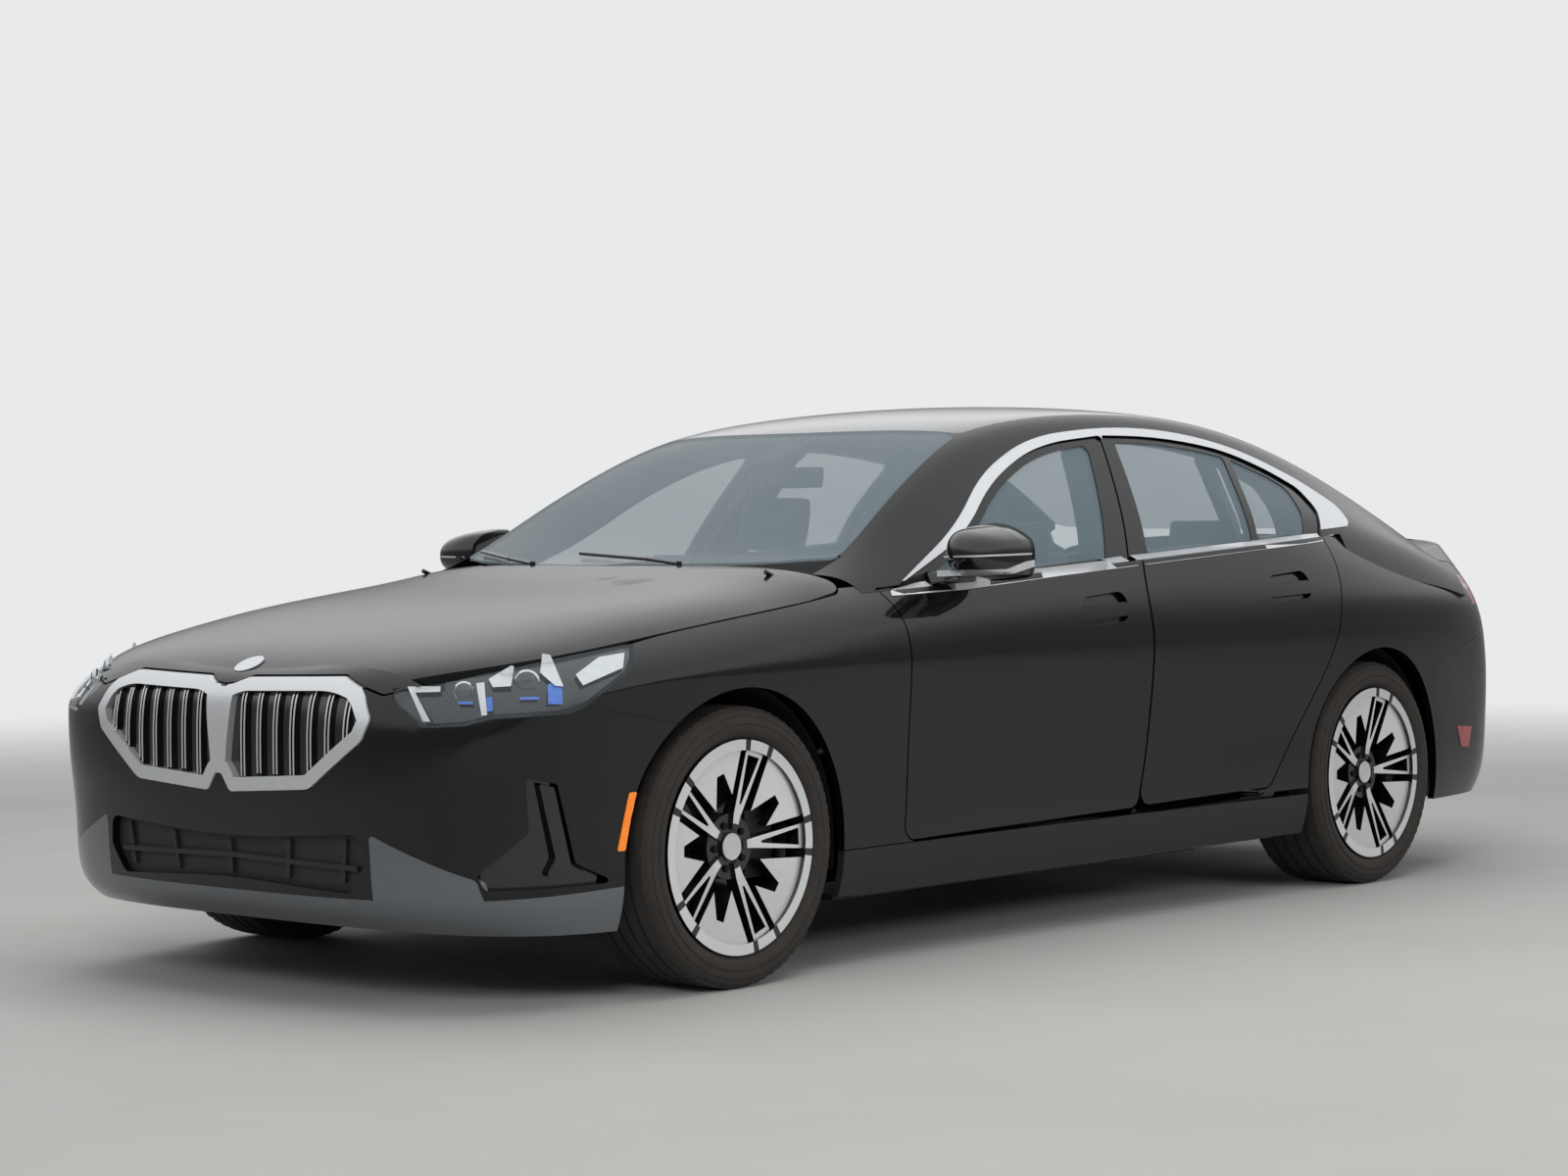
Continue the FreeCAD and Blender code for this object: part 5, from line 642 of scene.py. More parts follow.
@dataclass
class Tyres:
    """Road tyres with a grooved tread and ringed side walls, in the places of the plain ones."""

    seat_radius: float = 250.3 * MM
    flange_radius: float = 268.3 * MM
    outer_radius: float = 352.0 * MM
    bead_share: float = 0.838
    bead_width: float = 12.0 * MM
    pitches: int = 70
    steps_per_pitch: int = 3
    groove_depth: float = 6.5 * MM
    groove_shares: tuple[float, ...] = (0.50, 0.17)
    groove_half_share: float = 0.036
    tread_edge: tuple[float, float] = (0.70, 0.6 * MM)
    shoulder: tuple[float, float] = (0.56, 0.975)
    shoulder_from: float = 0.93
    shoulder_depth: float = 2.6 * MM
    # Height above the flange and width beyond the bead, as shares: bulge, two raised rings, shoulder
    wall_rows: tuple[tuple[float, float], ...] = (
        (0.0, 0.0), (0.06, 0.30), (0.16, 0.72), (0.27, 0.97), (0.40, 1.0), (0.43, 1.0), (0.435, 0.90625),
        (0.46, 0.90625), (0.465, 0.975), (0.60, 0.90625), (0.68, 0.84375), (0.685, 0.75), (0.71, 0.73125),
        (0.715, 0.7875), (0.80, 0.65625), (0.88, 0.375), (0.935, 0.0), (0.972, 0.0),
    )

    def build(self) -> None:
        """Makes the four tyres."""
        for place in ("front", "rear"):
            for side in SIDES:
                self.tyre(f"{place}_{side}")

    def profile(self, half: float) -> list[tuple[float, float]]:
        """One closed section as places across the width and radii.

        Args:
            half: Half the tyre's width.

        Returns:
            The section's corners in order.
        """
        bead, edge = half * self.bead_share, self.bead_width
        rise = self.outer_radius - self.flange_radius
        right = [(bead, self.seat_radius)]
        right += [(bead + (half - bead) * w, self.flange_radius + rise * r) for r, w in self.wall_rows]
        share, drop = self.tread_edge
        right.append((half * share, self.outer_radius - drop))
        deep = self.outer_radius - self.groove_depth
        for share in self.groove_shares:
            low, high = half * (share - self.groove_half_share), half * (share + self.groove_half_share)
            right += [(high, self.outer_radius), (high, deep), (low, deep), (low, self.outer_radius)]
        mirrored = [(-y, r) for y, r in reversed(right)]
        inner = [(edge - bead, self.seat_radius), (2 * edge - bead, self.flange_radius),
                 (bead - 2 * edge, self.flange_radius), (bead - edge, self.seat_radius)]
        return right + mirrored + inner

    def tyre(self, corner: str) -> None:
        """Spins one section round the axle and sinks the cross grooves of its shoulders.

        Args:
            corner: The wheel's place and side.
        """
        node = corner + "_tyre"
        low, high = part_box(node)
        middle, half = (low + high) / 2, (high.y - low.y) / 2
        steps = self.pitches * self.steps_per_pitch
        shape = bmesh.new()
        rows = [shape.verts.new(middle + Vector((r, y, 0))) for y, r in self.profile(half)]
        ring = [shape.edges.new((a, b)) for a, b in zip(rows, rows[1:] + rows[:1])]
        bmesh.ops.spin(shape, geom=rows + ring, cent=middle, axis=ACROSS, angle=math.tau, steps=steps,
                       use_merge=True)
        for vert in shape.verts:
            spoke = vert.co - middle
            across = abs(spoke.y) / half
            radius = math.hypot(spoke.x, spoke.z)
            turn = round(math.atan2(spoke.z, spoke.x) / math.tau * steps) % self.steps_per_pitch
            on_shoulder = self.shoulder[0] < across < self.shoulder[1]
            if turn == 0 and on_shoulder and radius > self.outer_radius * self.shoulder_from:
                share = (radius - self.shoulder_depth) / radius
                vert.co = middle + Vector((spoke.x * share, spoke.y, spoke.z * share))
        CRAFT.piece(corner + "_road_tyre", shape, TYRE_RUBBER, corner + "_wheel", [node])


@dataclass(frozen=True)
class WheelFace(Finish):
    """Cast alloy that is black all over, with its outer face turned bright on a lathe."""

    middle: Triple = (0.0, 0.0, 0.0)
    outward: float = 1.0
    hub_radius: float = 82.0 * MM
    rim_radius: float = 245.5 * MM
    hub_face: float = 80.5 * MM
    rim_face: float = 103.15 * MM
    bright_from: float = 58.0 * MM
    turned_depth: float = 3.0 * MM
    facing_share: float = 0.7
    ring_width: float = 8.0 * MM
    forks: int = 5
    fork_deg: float = 74.5
    slot_deg: tuple[float, float] = (7.4, 11.5)
    bright: str = "#E6E7E9"
    bright_metallic: float = 0.6

    def colour_patches(self, tree: bpy.types.NodeTree, shader: bpy.types.Node, place: bpy.types.Node) -> None:
        """Makes bright and metallic what lies on the turned cone, and leaves the rest black lacquer.

        Args:
            tree: The material's node tree.
            shader: The surface's shader.
            place: The texture coordinate node.
        """
        plain, spatial = "ShaderNodeMath", "ShaderNodeVectorMath"
        spoke = add_node(tree, spatial, {0: place.outputs["Object"], 1: self.middle}, operation="SUBTRACT")
        flat = add_node(tree, spatial, {0: spoke.outputs["Vector"], 1: (1.0, 0.0, 1.0)}, operation="MULTIPLY")
        length = add_node(tree, spatial, {0: flat.outputs["Vector"]}, operation="LENGTH")
        radius = length.outputs["Value"]
        parts = add_node(tree, "ShaderNodeSeparateXYZ", {"Vector": spoke.outputs["Vector"]})
        cone = add_node(tree, "ShaderNodeMapRange", {
            "Value": radius, "From Min": self.hub_radius, "From Max": self.rim_radius, "To Min": self.hub_face,
            "To Max": self.rim_face})
        reach = add_node(tree, plain, {0: parts.outputs["Y"], 1: self.outward}, operation="MULTIPLY")
        depth = add_node(tree, plain, {0: cone.outputs["Result"], 1: reach.outputs[0]}, operation="SUBTRACT")
        turned = add_node(tree, plain, {0: depth.outputs[0], 1: self.turned_depth}, operation="LESS_THAN")
        outside = add_node(tree, plain, {0: radius, 1: self.bright_from}, operation="GREATER_THAN")
        normal = add_node(tree, "ShaderNodeSeparateXYZ", {"Vector": place.outputs["Normal"]})
        sideways = add_node(tree, plain, {0: normal.outputs["Y"]}, operation="ABSOLUTE")
        facing = add_node(tree, plain, {0: sideways.outputs[0], 1: self.facing_share}, operation="GREATER_THAN")
        angle = add_node(tree, plain, {0: parts.outputs["Z"], 1: parts.outputs["X"]}, operation="ARCTAN2")
        start = math.tau * 2 - math.radians(self.fork_deg)
        angle = add_node(tree, plain, {0: angle.outputs[0], 1: start}, operation="ADD")
        away = add_node(tree, plain, {0: angle.outputs[0], 1: math.pi / self.forks}, operation="PINGPONG")
        slot_from, slot_to = (math.radians(edge) for edge in self.slot_deg)
        middle, half = (slot_from + slot_to) / 2, (slot_to - slot_from) / 2
        slot = add_node(tree, plain, {0: away.outputs[0], 1: middle, 2: half}, operation="COMPARE")
        ring_from = self.rim_radius - self.ring_width
        ring = add_node(tree, plain, {0: radius, 1: ring_from}, operation="GREATER_THAN")
        slot = add_node(tree, plain, {0: slot.outputs[0], 1: ring.outputs[0]}, operation="MULTIPLY")
        unslotted = add_node(tree, plain, {0: 1.0, 1: slot.outputs[0]}, operation="SUBTRACT")
        for factor in (unslotted, outside, facing):
            turned = add_node(tree, plain, {0: turned.outputs[0], 1: factor.outputs[0]}, operation="MULTIPLY")
        self.tint(tree, shader, turned.outputs[0], self.bright)
        metal = add_node(tree, plain, {0: turned.outputs[0], 1: self.bright_metallic}, operation="MULTIPLY")
        tree.links.new(metal.outputs[0], shader.inputs["Metallic"])


@dataclass
class Wheels:
    """The bolts and the plain caps of the wheels, and the two-tone finish of their faces."""

    bolts: int = 5
    first_bolt_deg: float = 38.5
    bolt_circle: float = 56.0 * MM
    bolt_radius: float = 10.5 * MM
    bolt_taper_share: float = 0.86
    bolt_height: float = 7.0 * MM
    bolt_sink: float = 6.5 * MM
    bolt_edge: float = 0.8 * MM
    cap_radius: float = 34.0 * MM
    cap_taper_share: float = 0.97
    cap_height: float = 2.2 * MM
    # The cap's rings from the rim inwards: width and rise of each
    cap_steps: Outline = ((2.5 * MM, 0.0), (0.8 * MM, -0.9 * MM), (14.0 * MM, 0.6 * MM))
    faces: dict[str, tuple[float, float]] = field(default_factory=lambda: {
        "front": (80.5 * MM, 103.15 * MM), "rear": (95.5 * MM, 117.25 * MM)})

    def build(self) -> None:
        """Dresses the four rims and adds their small pieces."""
        for place, (hub_face, rim_face) in self.faces.items():
            for side, sign in SIDES.items():
                corner = f"{place}_{side}"
                low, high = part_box(corner + "_tyre")
                middle = (low + high) / 2
                face = WheelFace("turned_face_" + corner, "#0E0F11", 0.24, coat=0.5, edge_mm=0.8,
                                 middle=tuple(middle), outward=sign, hub_face=hub_face, rim_face=rim_face)
                dress(corner + "_rim", face)
                self.bolt_ring(corner, middle, sign, hub_face)
                self.cap(corner, middle, sign, hub_face)

    def bolt_ring(self, corner: str, middle: Vector, sign: float, face: float) -> None:
        """Sets the wheel bolts round the cap, sunk in the hub.

        Args:
            corner: The wheel's place and side.
            middle: The wheel's middle.
            sign: The side of the car, -1 or 1.
            face: How far out the hub's face is from the middle.
        """
        shape = bmesh.new()
        turn = Matrix.Rotation(-sign * math.pi / 2, 4, "X")
        foot, head = self.bolt_radius, self.bolt_radius * self.bolt_taper_share
        for k in range(self.bolts):
            angle = math.tau * k / self.bolts + math.radians(self.first_bolt_deg)
            across, up = self.bolt_circle * math.cos(angle), self.bolt_circle * math.sin(angle)
            spot = middle + Vector((across, sign * (face - self.bolt_sink), up))
            made = bmesh.ops.create_cone(shape, cap_ends=True, segments=6, radius1=foot, radius2=head,
                                         depth=self.bolt_height, matrix=Matrix.Translation(spot) @ turn)
            rims = list(dict.fromkeys(edge for vert in made["verts"] for edge in vert.link_edges))
            bmesh.ops.bevel(shape, geom=rims, offset=self.bolt_edge, segments=CRAFT.rim_segments, profile=0.5,
                            affect="EDGES", material=-1)
        CRAFT.piece(corner + "_wheel_bolts", shape, PLATED_STEEL, corner + "_wheel")

    def cap(self, corner: str, middle: Vector, sign: float, face: float) -> None:
        """Sets the plain cap with its raised rim.

        Args:
            corner: The wheel's place and side.
            middle: The wheel's middle.
            sign: The side of the car, -1 or 1.
            face: How far out the hub's face is from the middle.
        """
        shape = CRAFT.stepped_disc(self.cap_radius, self.cap_taper_share, self.cap_height, 48, self.cap_steps)
        turn = Matrix.Translation(middle + Vector((0, sign * (face + self.cap_height / 2), 0)))
        turn = turn @ Matrix.Rotation(-sign * math.pi / 2, 4, "X")
        bmesh.ops.transform(shape, matrix=turn, verts=shape.verts)
        CRAFT.piece(corner + "_wheel_cap", shape, SATIN_ALUMINIUM, corner + "_wheel")


@dataclass
class Grille:
    """Bright faces of the upright double bars, the blank badge above them and the vanes of the lower grille."""

    bars: int = 7
    first: float = 85.0 * MM
    pitch: float = 59.5 * MM
    pair_half: float = 5.75 * MM
    strip_half: float = 2.3 * MM
    strip_thickness: float = 1.4 * MM
    strip_proud_share: float = 0.8
    span: tuple[float, float] = (0.50, 0.83)
    samples: int = 34
    fewest_spots: int = 4
    cross_bar: Outline = (
        (-0.45, 0.334), (0.0, 0.345), (0.45, 0.334), (0.45, 0.347), (0.0, 0.358), (-0.45, 0.347))
    cross_bar_form: PlateForm = PlateForm(13.0 * MM, step=30.0 * MM)
    vane_places: tuple[float, ...] = (-0.40, -0.21, 0.0, 0.21, 0.40)
    vane_form: PlateForm = PlateForm(11.0 * MM, step=30.0 * MM)
    vane_half: float = 7.0 * MM
    vane_lean: float = 12.0 * MM
    vane_foot: float = 0.305
    vane_top: float = 0.388
    vane_rise_share: float = 0.05
    badge_x: float = -2.425
    badge_radius: float = 39.0 * MM
    badge_taper_share: float = 0.95
    badge_height: float = 4.0 * MM
    badge_lift: float = 1.6 * MM
    badge_steps: Outline = ((5.0 * MM, 0.0), (1.2 * MM, -1.2 * MM), (16.0 * MM, 0.9 * MM))

    def build(self) -> None:
        """Makes the strips, the badge and the vanes."""
        shape = bmesh.new()
        for sign in SIDES.values():
            for k in range(self.bars):
                for edge in (-1, 1):
                    self.strip(shape, sign * (self.first + self.pitch * k) + edge * self.pair_half)
        CRAFT.piece("grille_bright_strips", shape, SATIN_ALUMINIUM, "car")
        self.badge()
        self.lower_vanes()

    def lower_vanes(self) -> None:
        """Makes the cross bar and the upright vanes that stand out of the lower grille."""
        view = (AFT * -3.0, ACROSS, AFT)
        shape = CRAFT.skin_patch(self.cross_bar, *view, ["lower_grille"], self.cross_bar_form)
        CRAFT.piece("lower_grille_bar", shape, GRAINED_PP, "car")
        for k, y in enumerate(self.vane_places):
            low, high = y - self.vane_half, y + self.vane_half
            lean = math.copysign(self.vane_lean, y) if y else 0.0
            top = self.vane_top + self.vane_rise_share * abs(y)
            vane = [(low, self.vane_foot), (high, self.vane_foot), (high + lean, top), (low + lean, top)]
            shape = CRAFT.skin_patch(vane, *view, ["lower_grille"], self.vane_form)
            CRAFT.piece(f"lower_grille_vane_{k}", shape, GRAINED_PP, "car")

    def strip(self, shape: bmesh.types.BMesh, y: float) -> None:
        """Adds one bright strip down the face of a bar.

        Args:
            shape: The mesh that holds all the strips.
            y: The strip's place across the car.
        """
        tree = solid_tree("grille_bars")
        low, high = self.span
        spots = []
        for k in range(self.samples + 1):
            z = low + (high - low) * k / self.samples
            hit = tree.ray_cast(Vector((-3.0, y, z)), AFT)[0]
            if hit is not None:
                spots.append(hit)
        if len(spots) < self.fewest_spots:
            return
        front = AFT * -self.strip_thickness * self.strip_proud_share - ACROSS * self.strip_half
        rows = [shape.verts.new(spot + front) for spot in spots]
        edges = [shape.edges.new(pair) for pair in zip(rows, rows[1:])]
        sideways = bmesh.ops.extrude_edge_only(shape, edges=edges)
        moved = [g for g in sideways["geom"] if isinstance(g, bmesh.types.BMVert)]
        bmesh.ops.translate(shape, verts=moved, vec=ACROSS * self.strip_half * 2)
        faces = [g for g in sideways["geom"] if isinstance(g, bmesh.types.BMFace)]
        CRAFT.pushed_out(shape, faces, AFT * self.strip_thickness)

    def badge(self) -> None:
        """Makes the blank badge on the nose, a dished disc in a bright ring, square to the skin."""
        above = Vector((self.badge_x, 0.0, 2.0))
        hits = {name: solid_tree(name).ray_cast(above, -UP) for name in ("bonnet", "front_bumper")}
        name = max((n for n in hits if hits[n][0] is not None), key=lambda n: hits[n][0].z)
        place, normal = hits[name][0], hits[name][1]
        if normal.z < 0:
            normal = -normal
        shape = CRAFT.stepped_disc(self.badge_radius, self.badge_taper_share, self.badge_height, 64,
                                   self.badge_steps)
        along = ACROSS.cross(normal)
        CRAFT.turn_to(shape, place + normal * self.badge_lift, normal.cross(along), along)
        CRAFT.piece("blank_badge", shape, SATIN_ALUMINIUM, "bonnet" if name == "bonnet" else "car")


@dataclass
class Headlamps:
    """What shows inside the clear lamps: black housing, light guides, projectors and blue shades."""

    corner: tuple[float, float] = (-2.34, 0.79)
    facet: float = 25.0 * MM
    rounding: float = 0.8 * MM
    housing_thickness: float = 2.5 * MM
    housing_depth: float = 27.0 * MM
    guide_thickness: float = 5.0 * MM
    guide_depth: float = 14.0 * MM
    shade_thickness: float = 3.0 * MM
    shade_depth: float = 18.0 * MM
    lens_flatness: float = 0.45
    barrel_shares: tuple[float, float] = (1.22, 1.05)
    barrel_length: float = 9.0 * MM
    barrel_wall: float = 1.5 * MM
    barrel_set_back: float = 2.0 * MM
    housing: Outline = (
        (-0.236, 0.738), (-0.172, 0.690), (-0.07, 0.697), (-0.01, 0.713), (0.170, 0.720), (0.205, 0.733),
        (0.302, 0.803), (0.316, 0.832), (0.316, 0.858), (0.208, 0.843), (0.058, 0.817), (-0.092, 0.789),
        (-0.245, 0.772))
    guides: dict[str, Outline] = field(default_factory=lambda: {
        "outer_l": ((-0.209, 0.777), (-0.131, 0.777), (-0.131, 0.765), (-0.191, 0.763), (-0.153, 0.6965),
                    (-0.1715, 0.6975)),
        "middle_blade": ((-0.047, 0.784), (-0.028, 0.786), (-0.020, 0.713), (-0.033, 0.711)),
        "inner_l": ((-0.018, 0.793), (0.035, 0.824), (0.042, 0.822), (0.035, 0.777), (-0.008, 0.775)),
        "outer_wing": ((0.108, 0.850), (0.127, 0.846), (0.158, 0.774), (0.139, 0.776), (0.103, 0.806)),
        "turn_band": ((0.187, 0.800), (0.243, 0.838), (0.305, 0.846), (0.300, 0.812), (0.204, 0.775)),
    })
    shades: tuple[Outline, ...] = (
        ((0.120, 0.777), (0.135, 0.787), (0.154, 0.782), (0.156, 0.733), (0.122, 0.735)),
        ((-0.023, 0.752), (-0.009, 0.754), (-0.007, 0.722), (-0.021, 0.720)),
        ((-0.088, 0.743), (-0.054, 0.743), (-0.054, 0.737), (-0.088, 0.737)),
        ((0.056, 0.752), (0.100, 0.752), (0.100, 0.746), (0.056, 0.746)),
    )
    projectors: tuple[Triple, ...] = ((-0.0758, 0.764, 0.021), (0.0715, 0.783, 0.026))

    def build(self) -> None:
        """Fills both lamps, in the slanting view square to each lamp's face."""
        for side, sign in SIDES.items():
            along, inward = slanting_view(sign)
            base = Vector((self.corner[0], sign * self.corner[1], 0)) - inward * 0.1
            view = (base, along, inward)
            shape = self.plate(self.housing, view, self.housing_thickness, self.housing_depth)
            CRAFT.piece(side + "_lamp_housing", shape, LAMP_BLACK, "car")
            for name, outline in self.guides.items():
                shape = self.plate(outline, view, self.guide_thickness, self.guide_depth)
                CRAFT.piece(f"{side}_lamp_{name}", shape, LIGHT_GUIDE, "car")
            for k, outline in enumerate(self.shades):
                shape = self.plate(outline, view, self.shade_thickness, self.shade_depth)
                CRAFT.piece(f"{side}_lamp_shade_{k}", shape, BLUE_SHADE, "car")
            for k, (s, z, radius) in enumerate(self.projectors):
                self.projector(f"{side}_lamp_projector_{k}", base + along * s + UP * z, inward, radius)

    def plate(self, outline: Outline, view: tuple[Vector, Vector, Vector], thickness: float,
              depth: float) -> bmesh.types.BMesh:
        """Makes a plate inside the lamp.

        Args:
            outline: Its corners along the lamp and up.
            view: The outline's zero point, the direction along the lamp and the one into it.
            thickness: How thick it is.
            depth: How far its back is behind the lamp's face.

        Returns:
            The closed plate.
        """
        form = PlateForm(thickness, depth, self.facet, self.rounding)
        return CRAFT.skin_patch(outline, *view, ["headlamps"], form)

    def projector(self, name: str, aim: Vector, inward: Vector, radius: float) -> None:
        """Makes a round projector lens in its chromed barrel.

        Args:
            name: The lens's name.
            aim: A point in front of its middle.
            inward: The direction into the lamp.
            radius: The lens's radius.
        """
        face = solid_tree("headlamps").ray_cast(aim - inward * 2.0, inward)[0]
        if face is None:
            return
        place = face + inward * self.shade_depth
        across = inward.cross(UP)
        along = across.cross(inward)
        shape = bmesh.new()
        bmesh.ops.create_uvsphere(shape, u_segments=32, v_segments=16, radius=radius)
        bmesh.ops.scale(shape, vec=(1, 1, self.lens_flatness), verts=shape.verts)
        CRAFT.turn_to(shape, place, across, along)
        CRAFT.piece(name, shape, PROJECTOR_GLASS, "car")
        wide, narrow = (radius * share for share in self.barrel_shares)
        shape = bmesh.new()
        bmesh.ops.create_cone(shape, cap_ends=False, segments=40, radius1=wide, radius2=narrow,
                              depth=self.barrel_length)
        bmesh.ops.solidify(shape, geom=shape.faces, thickness=self.barrel_wall)
        CRAFT.turn_to(shape, place + inward * self.barrel_set_back, across, along)
        CRAFT.piece(name + "_barrel", shape, CHROME, "car")


@dataclass
class SmallTrim:
    """Side markers, rear reflectors, mirror shells with their bright lines, and belt strips."""

    side_plane: float = 1.2
    marker: Outline = ((-2.016, 0.514), (-1.993, 0.514), (-2.029, 0.375), (-2.053, 0.375))
    marker_form: PlateForm = PlateForm(3.5 * MM, rounding=5.0 * MM)
    reflector: Outline = ((1.930, 0.470), (2.060, 0.462), (2.035, 0.395), (1.965, 0.400))
    reflector_form: PlateForm = PlateForm(3.0 * MM, rounding=6.0 * MM)
    belts: dict[str, Outline] = field(default_factory=lambda: {
        "front": ((-0.985, 0.962), (-0.69, 0.973), (-0.268, 1.002), (0.06, 1.022), (0.118, 1.026),
                  (0.118, 1.053), (0.043, 1.0475), (-0.835, 0.9955), (-0.90, 0.985), (-0.975, 0.975)),
        "rear": ((0.155, 1.028), (0.253, 1.034), (0.808, 1.067), (1.10, 1.084), (1.158, 1.088), (1.168, 1.112),
                 (1.095, 1.1095), (0.842, 1.094), (0.253, 1.0595), (0.165, 1.055)),
    })
    belt_form: PlateForm = PlateForm(3.5 * MM, step=50.0 * MM, rounding=1.5 * MM)

    def build(self) -> None:
        """Places all the small trim."""
        for side, sign in SIDES.items():
            view = (ACROSS * sign * self.side_plane, AFT, ACROSS * -sign)
            shape = CRAFT.skin_patch(self.marker, *view, ["front_bumper", "front_fenders"], self.marker_form)
            CRAFT.piece(side + "_side_marker", shape, AMBER_LENS, "car")
            shape = CRAFT.skin_patch(self.reflector, *view, ["rear_bumper"], self.reflector_form)
            CRAFT.piece(side + "_corner_reflector", shape, RED_LENS, "car")
            Mirror(side, sign).build()
            for place, outline in self.belts.items():
                door = f"{place}_{side}_door"
                shape = CRAFT.skin_patch(outline, *view, [door], self.belt_form)
                CRAFT.piece(door + "_belt_strip", shape, SATIN_ALUMINIUM, door)


@dataclass
class Mirror:
    """One door mirror: domed shell, arm, glass, bright lower blade and bright line."""

    side: str
    sign: float
    inner: float = 0.915
    low: float = 1.000
    outer_inset: float = 8.5 * MM
    skin_inset: float = 2.0 * MM
    cuts: int = 13
    tip_drop: float = 40.0 * MM
    tip_rise: float = 10.0 * MM
    glass_rim: float = 6.0 * MM
    glass_sink: float = 6.0 * MM
    arm_reach: float = 0.245
    arm_back: float = 55.0 * MM
    arm_section: Outline = ((-0.035, -0.018), (0.045, -0.018), (0.040, 0.022), (-0.020, 0.022))
    arm_sweep: float = 30.0 * MM
    arm_rise: float = 12.0 * MM
    arm_edges: tuple[float, float] = (10.0 * MM, 3.0 * MM)
    glass: Outline = ((0.930, 1.016), (1.070, 1.024), (1.076, 1.080), (1.050, 1.118), (0.932, 1.132))
    glass_form: PlateForm = PlateForm(1.5 * MM, 0.5 * MM, 30.0 * MM, 12.0 * MM)
    blade: Outline = ((0.0, 0.010), (0.19, 0.014), (0.262, 0.034), (0.262, 0.052), (0.235, 0.048),
                      (0.18, 0.029), (0.0, 0.026))
    line: Outline = ((0.015, 0.060), (0.255, 0.066), (0.255, 0.071), (0.015, 0.065))
    blade_sink: float = 1.2 * MM
    blade_step: float = 12.0 * MM

    def build(self) -> None:
        """Makes the mirror's pieces, which ride on the front door."""
        node, door, shell = self.side + "_mirror", f"front_{self.side}_door", self.side + "_mirror_shell"
        low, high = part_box(node)
        outer = (high.y if self.sign > 0 else low.y) - self.sign * self.outer_inset
        inner = self.sign * self.inner
        shape = self.domed_shell(low, high, inner, outer)
        TREES[shell] = BVHTree.FromBMesh(shape)
        CRAFT.smoothed(CRAFT.piece(shell, shape, PIANO_ABS, door, [node]))
        shape = self.arm(low.x + self.arm_back, inner, outer)
        CRAFT.piece(self.side + "_mirror_arm", shape, PIANO_ABS, door, [node])
        shape = CRAFT.skin_patch(self.glass, AFT * 0.4, ACROSS * self.sign, -AFT, [shell], self.glass_form)
        CRAFT.piece(self.side + "_mirror_glass", shape, MIRROR_GLASS, door)
        along, inward = slanting_view(self.sign)
        base = Vector((low.x, inner, self.low)) - inward * 0.3
        for name, outline, thickness in (("blade", self.blade, 3.0 * MM), ("line", self.line, 1.8 * MM)):
            form = PlateForm(thickness, self.blade_sink, self.blade_step)
            shape = CRAFT.skin_patch(outline, base, along, inward, [shell], form)
            CRAFT.piece(f"{self.side}_mirror_{name}", shape, SATIN_ALUMINIUM, door)

    def arm(self, x: float, inner: float, outer: float) -> bmesh.types.BMesh:
        """Makes the arm from the door to the shell's foot.

        Args:
            x: The arm's place along the car.
            inner: Where the shell starts beside the door.
            outer: Where the shell ends.

        Returns:
            The closed arm.
        """
        foot = self.sign * (abs(outer) - self.arm_reach)
        outline = [Vector((x + a, foot, self.low + b)) for a, b in self.arm_section]
        reach = Vector((self.arm_sweep, inner + self.sign * self.arm_sweep - foot, self.arm_rise))
        return CRAFT.prism(outline, reach, *self.arm_edges)

    def domed_shell(self, low: Vector, high: Vector, inner: float, outer: float) -> bmesh.types.BMesh:
        """Makes a shell that is domed in front, flat at the glass, and lower towards its outer end.

        Args:
            low: Lowest corner of the mirror's box.
            high: Highest corner of the mirror's box.
            inner: Where the shell starts beside the door.
            outer: Where it ends.

        Returns:
            The closed shell.
        """
        shape = bmesh.new()
        bmesh.ops.create_cube(shape, size=2.0)
        bmesh.ops.subdivide_edges(shape, edges=shape.edges[:], cuts=self.cuts, use_grid_fill=True)
        back_x = high.x - self.skin_inset
        depth = back_x - low.x - self.skin_inset
        for vert in shape.verts:
            a, b, c = vert.co
            out = (b + 1) / 2
            round_b, round_c = 1 - 0.10 * abs(c) ** 3, 1 - 0.05 * abs(b) ** 4
            top = high.z - self.skin_inset * 2 - self.tip_drop * out ** 2.4
            bottom = self.low + self.tip_rise * out ** 2
            end = abs(b) ** 3.0 * (1.0 if b > 0 else 0.35)
            dome = 0.22 + 0.78 * (1 - end) ** 0.55 * (1 - abs(c) ** 2.6) ** 0.45
            y = (inner + outer) / 2 + (outer - inner) / 2 * b * round_b * 0.985
            z = (top + bottom) / 2 + (top - bottom) / 2 * c * round_c
            vert.co = (back_x - depth * (1 - a) / 2 * dome, y, z)
        back = [f for f in shape.faces if f.calc_center_median().x > back_x - 1.0 * MM]
        bmesh.ops.inset_region(shape, faces=back, thickness=self.glass_rim, depth=0.0)
        bmesh.ops.inset_region(shape, faces=back, thickness=1.0 * MM, depth=-self.glass_sink)
        return shape


@dataclass(frozen=True)
class Cushion:
    """One padded cushion: where its middle is, how big it is, how it slopes and what is sewn in it."""

    place: tuple[float, float]
    size: Triple
    lean_deg: float
    channels: tuple[float, ...] = ()
    crown: float = 0.30


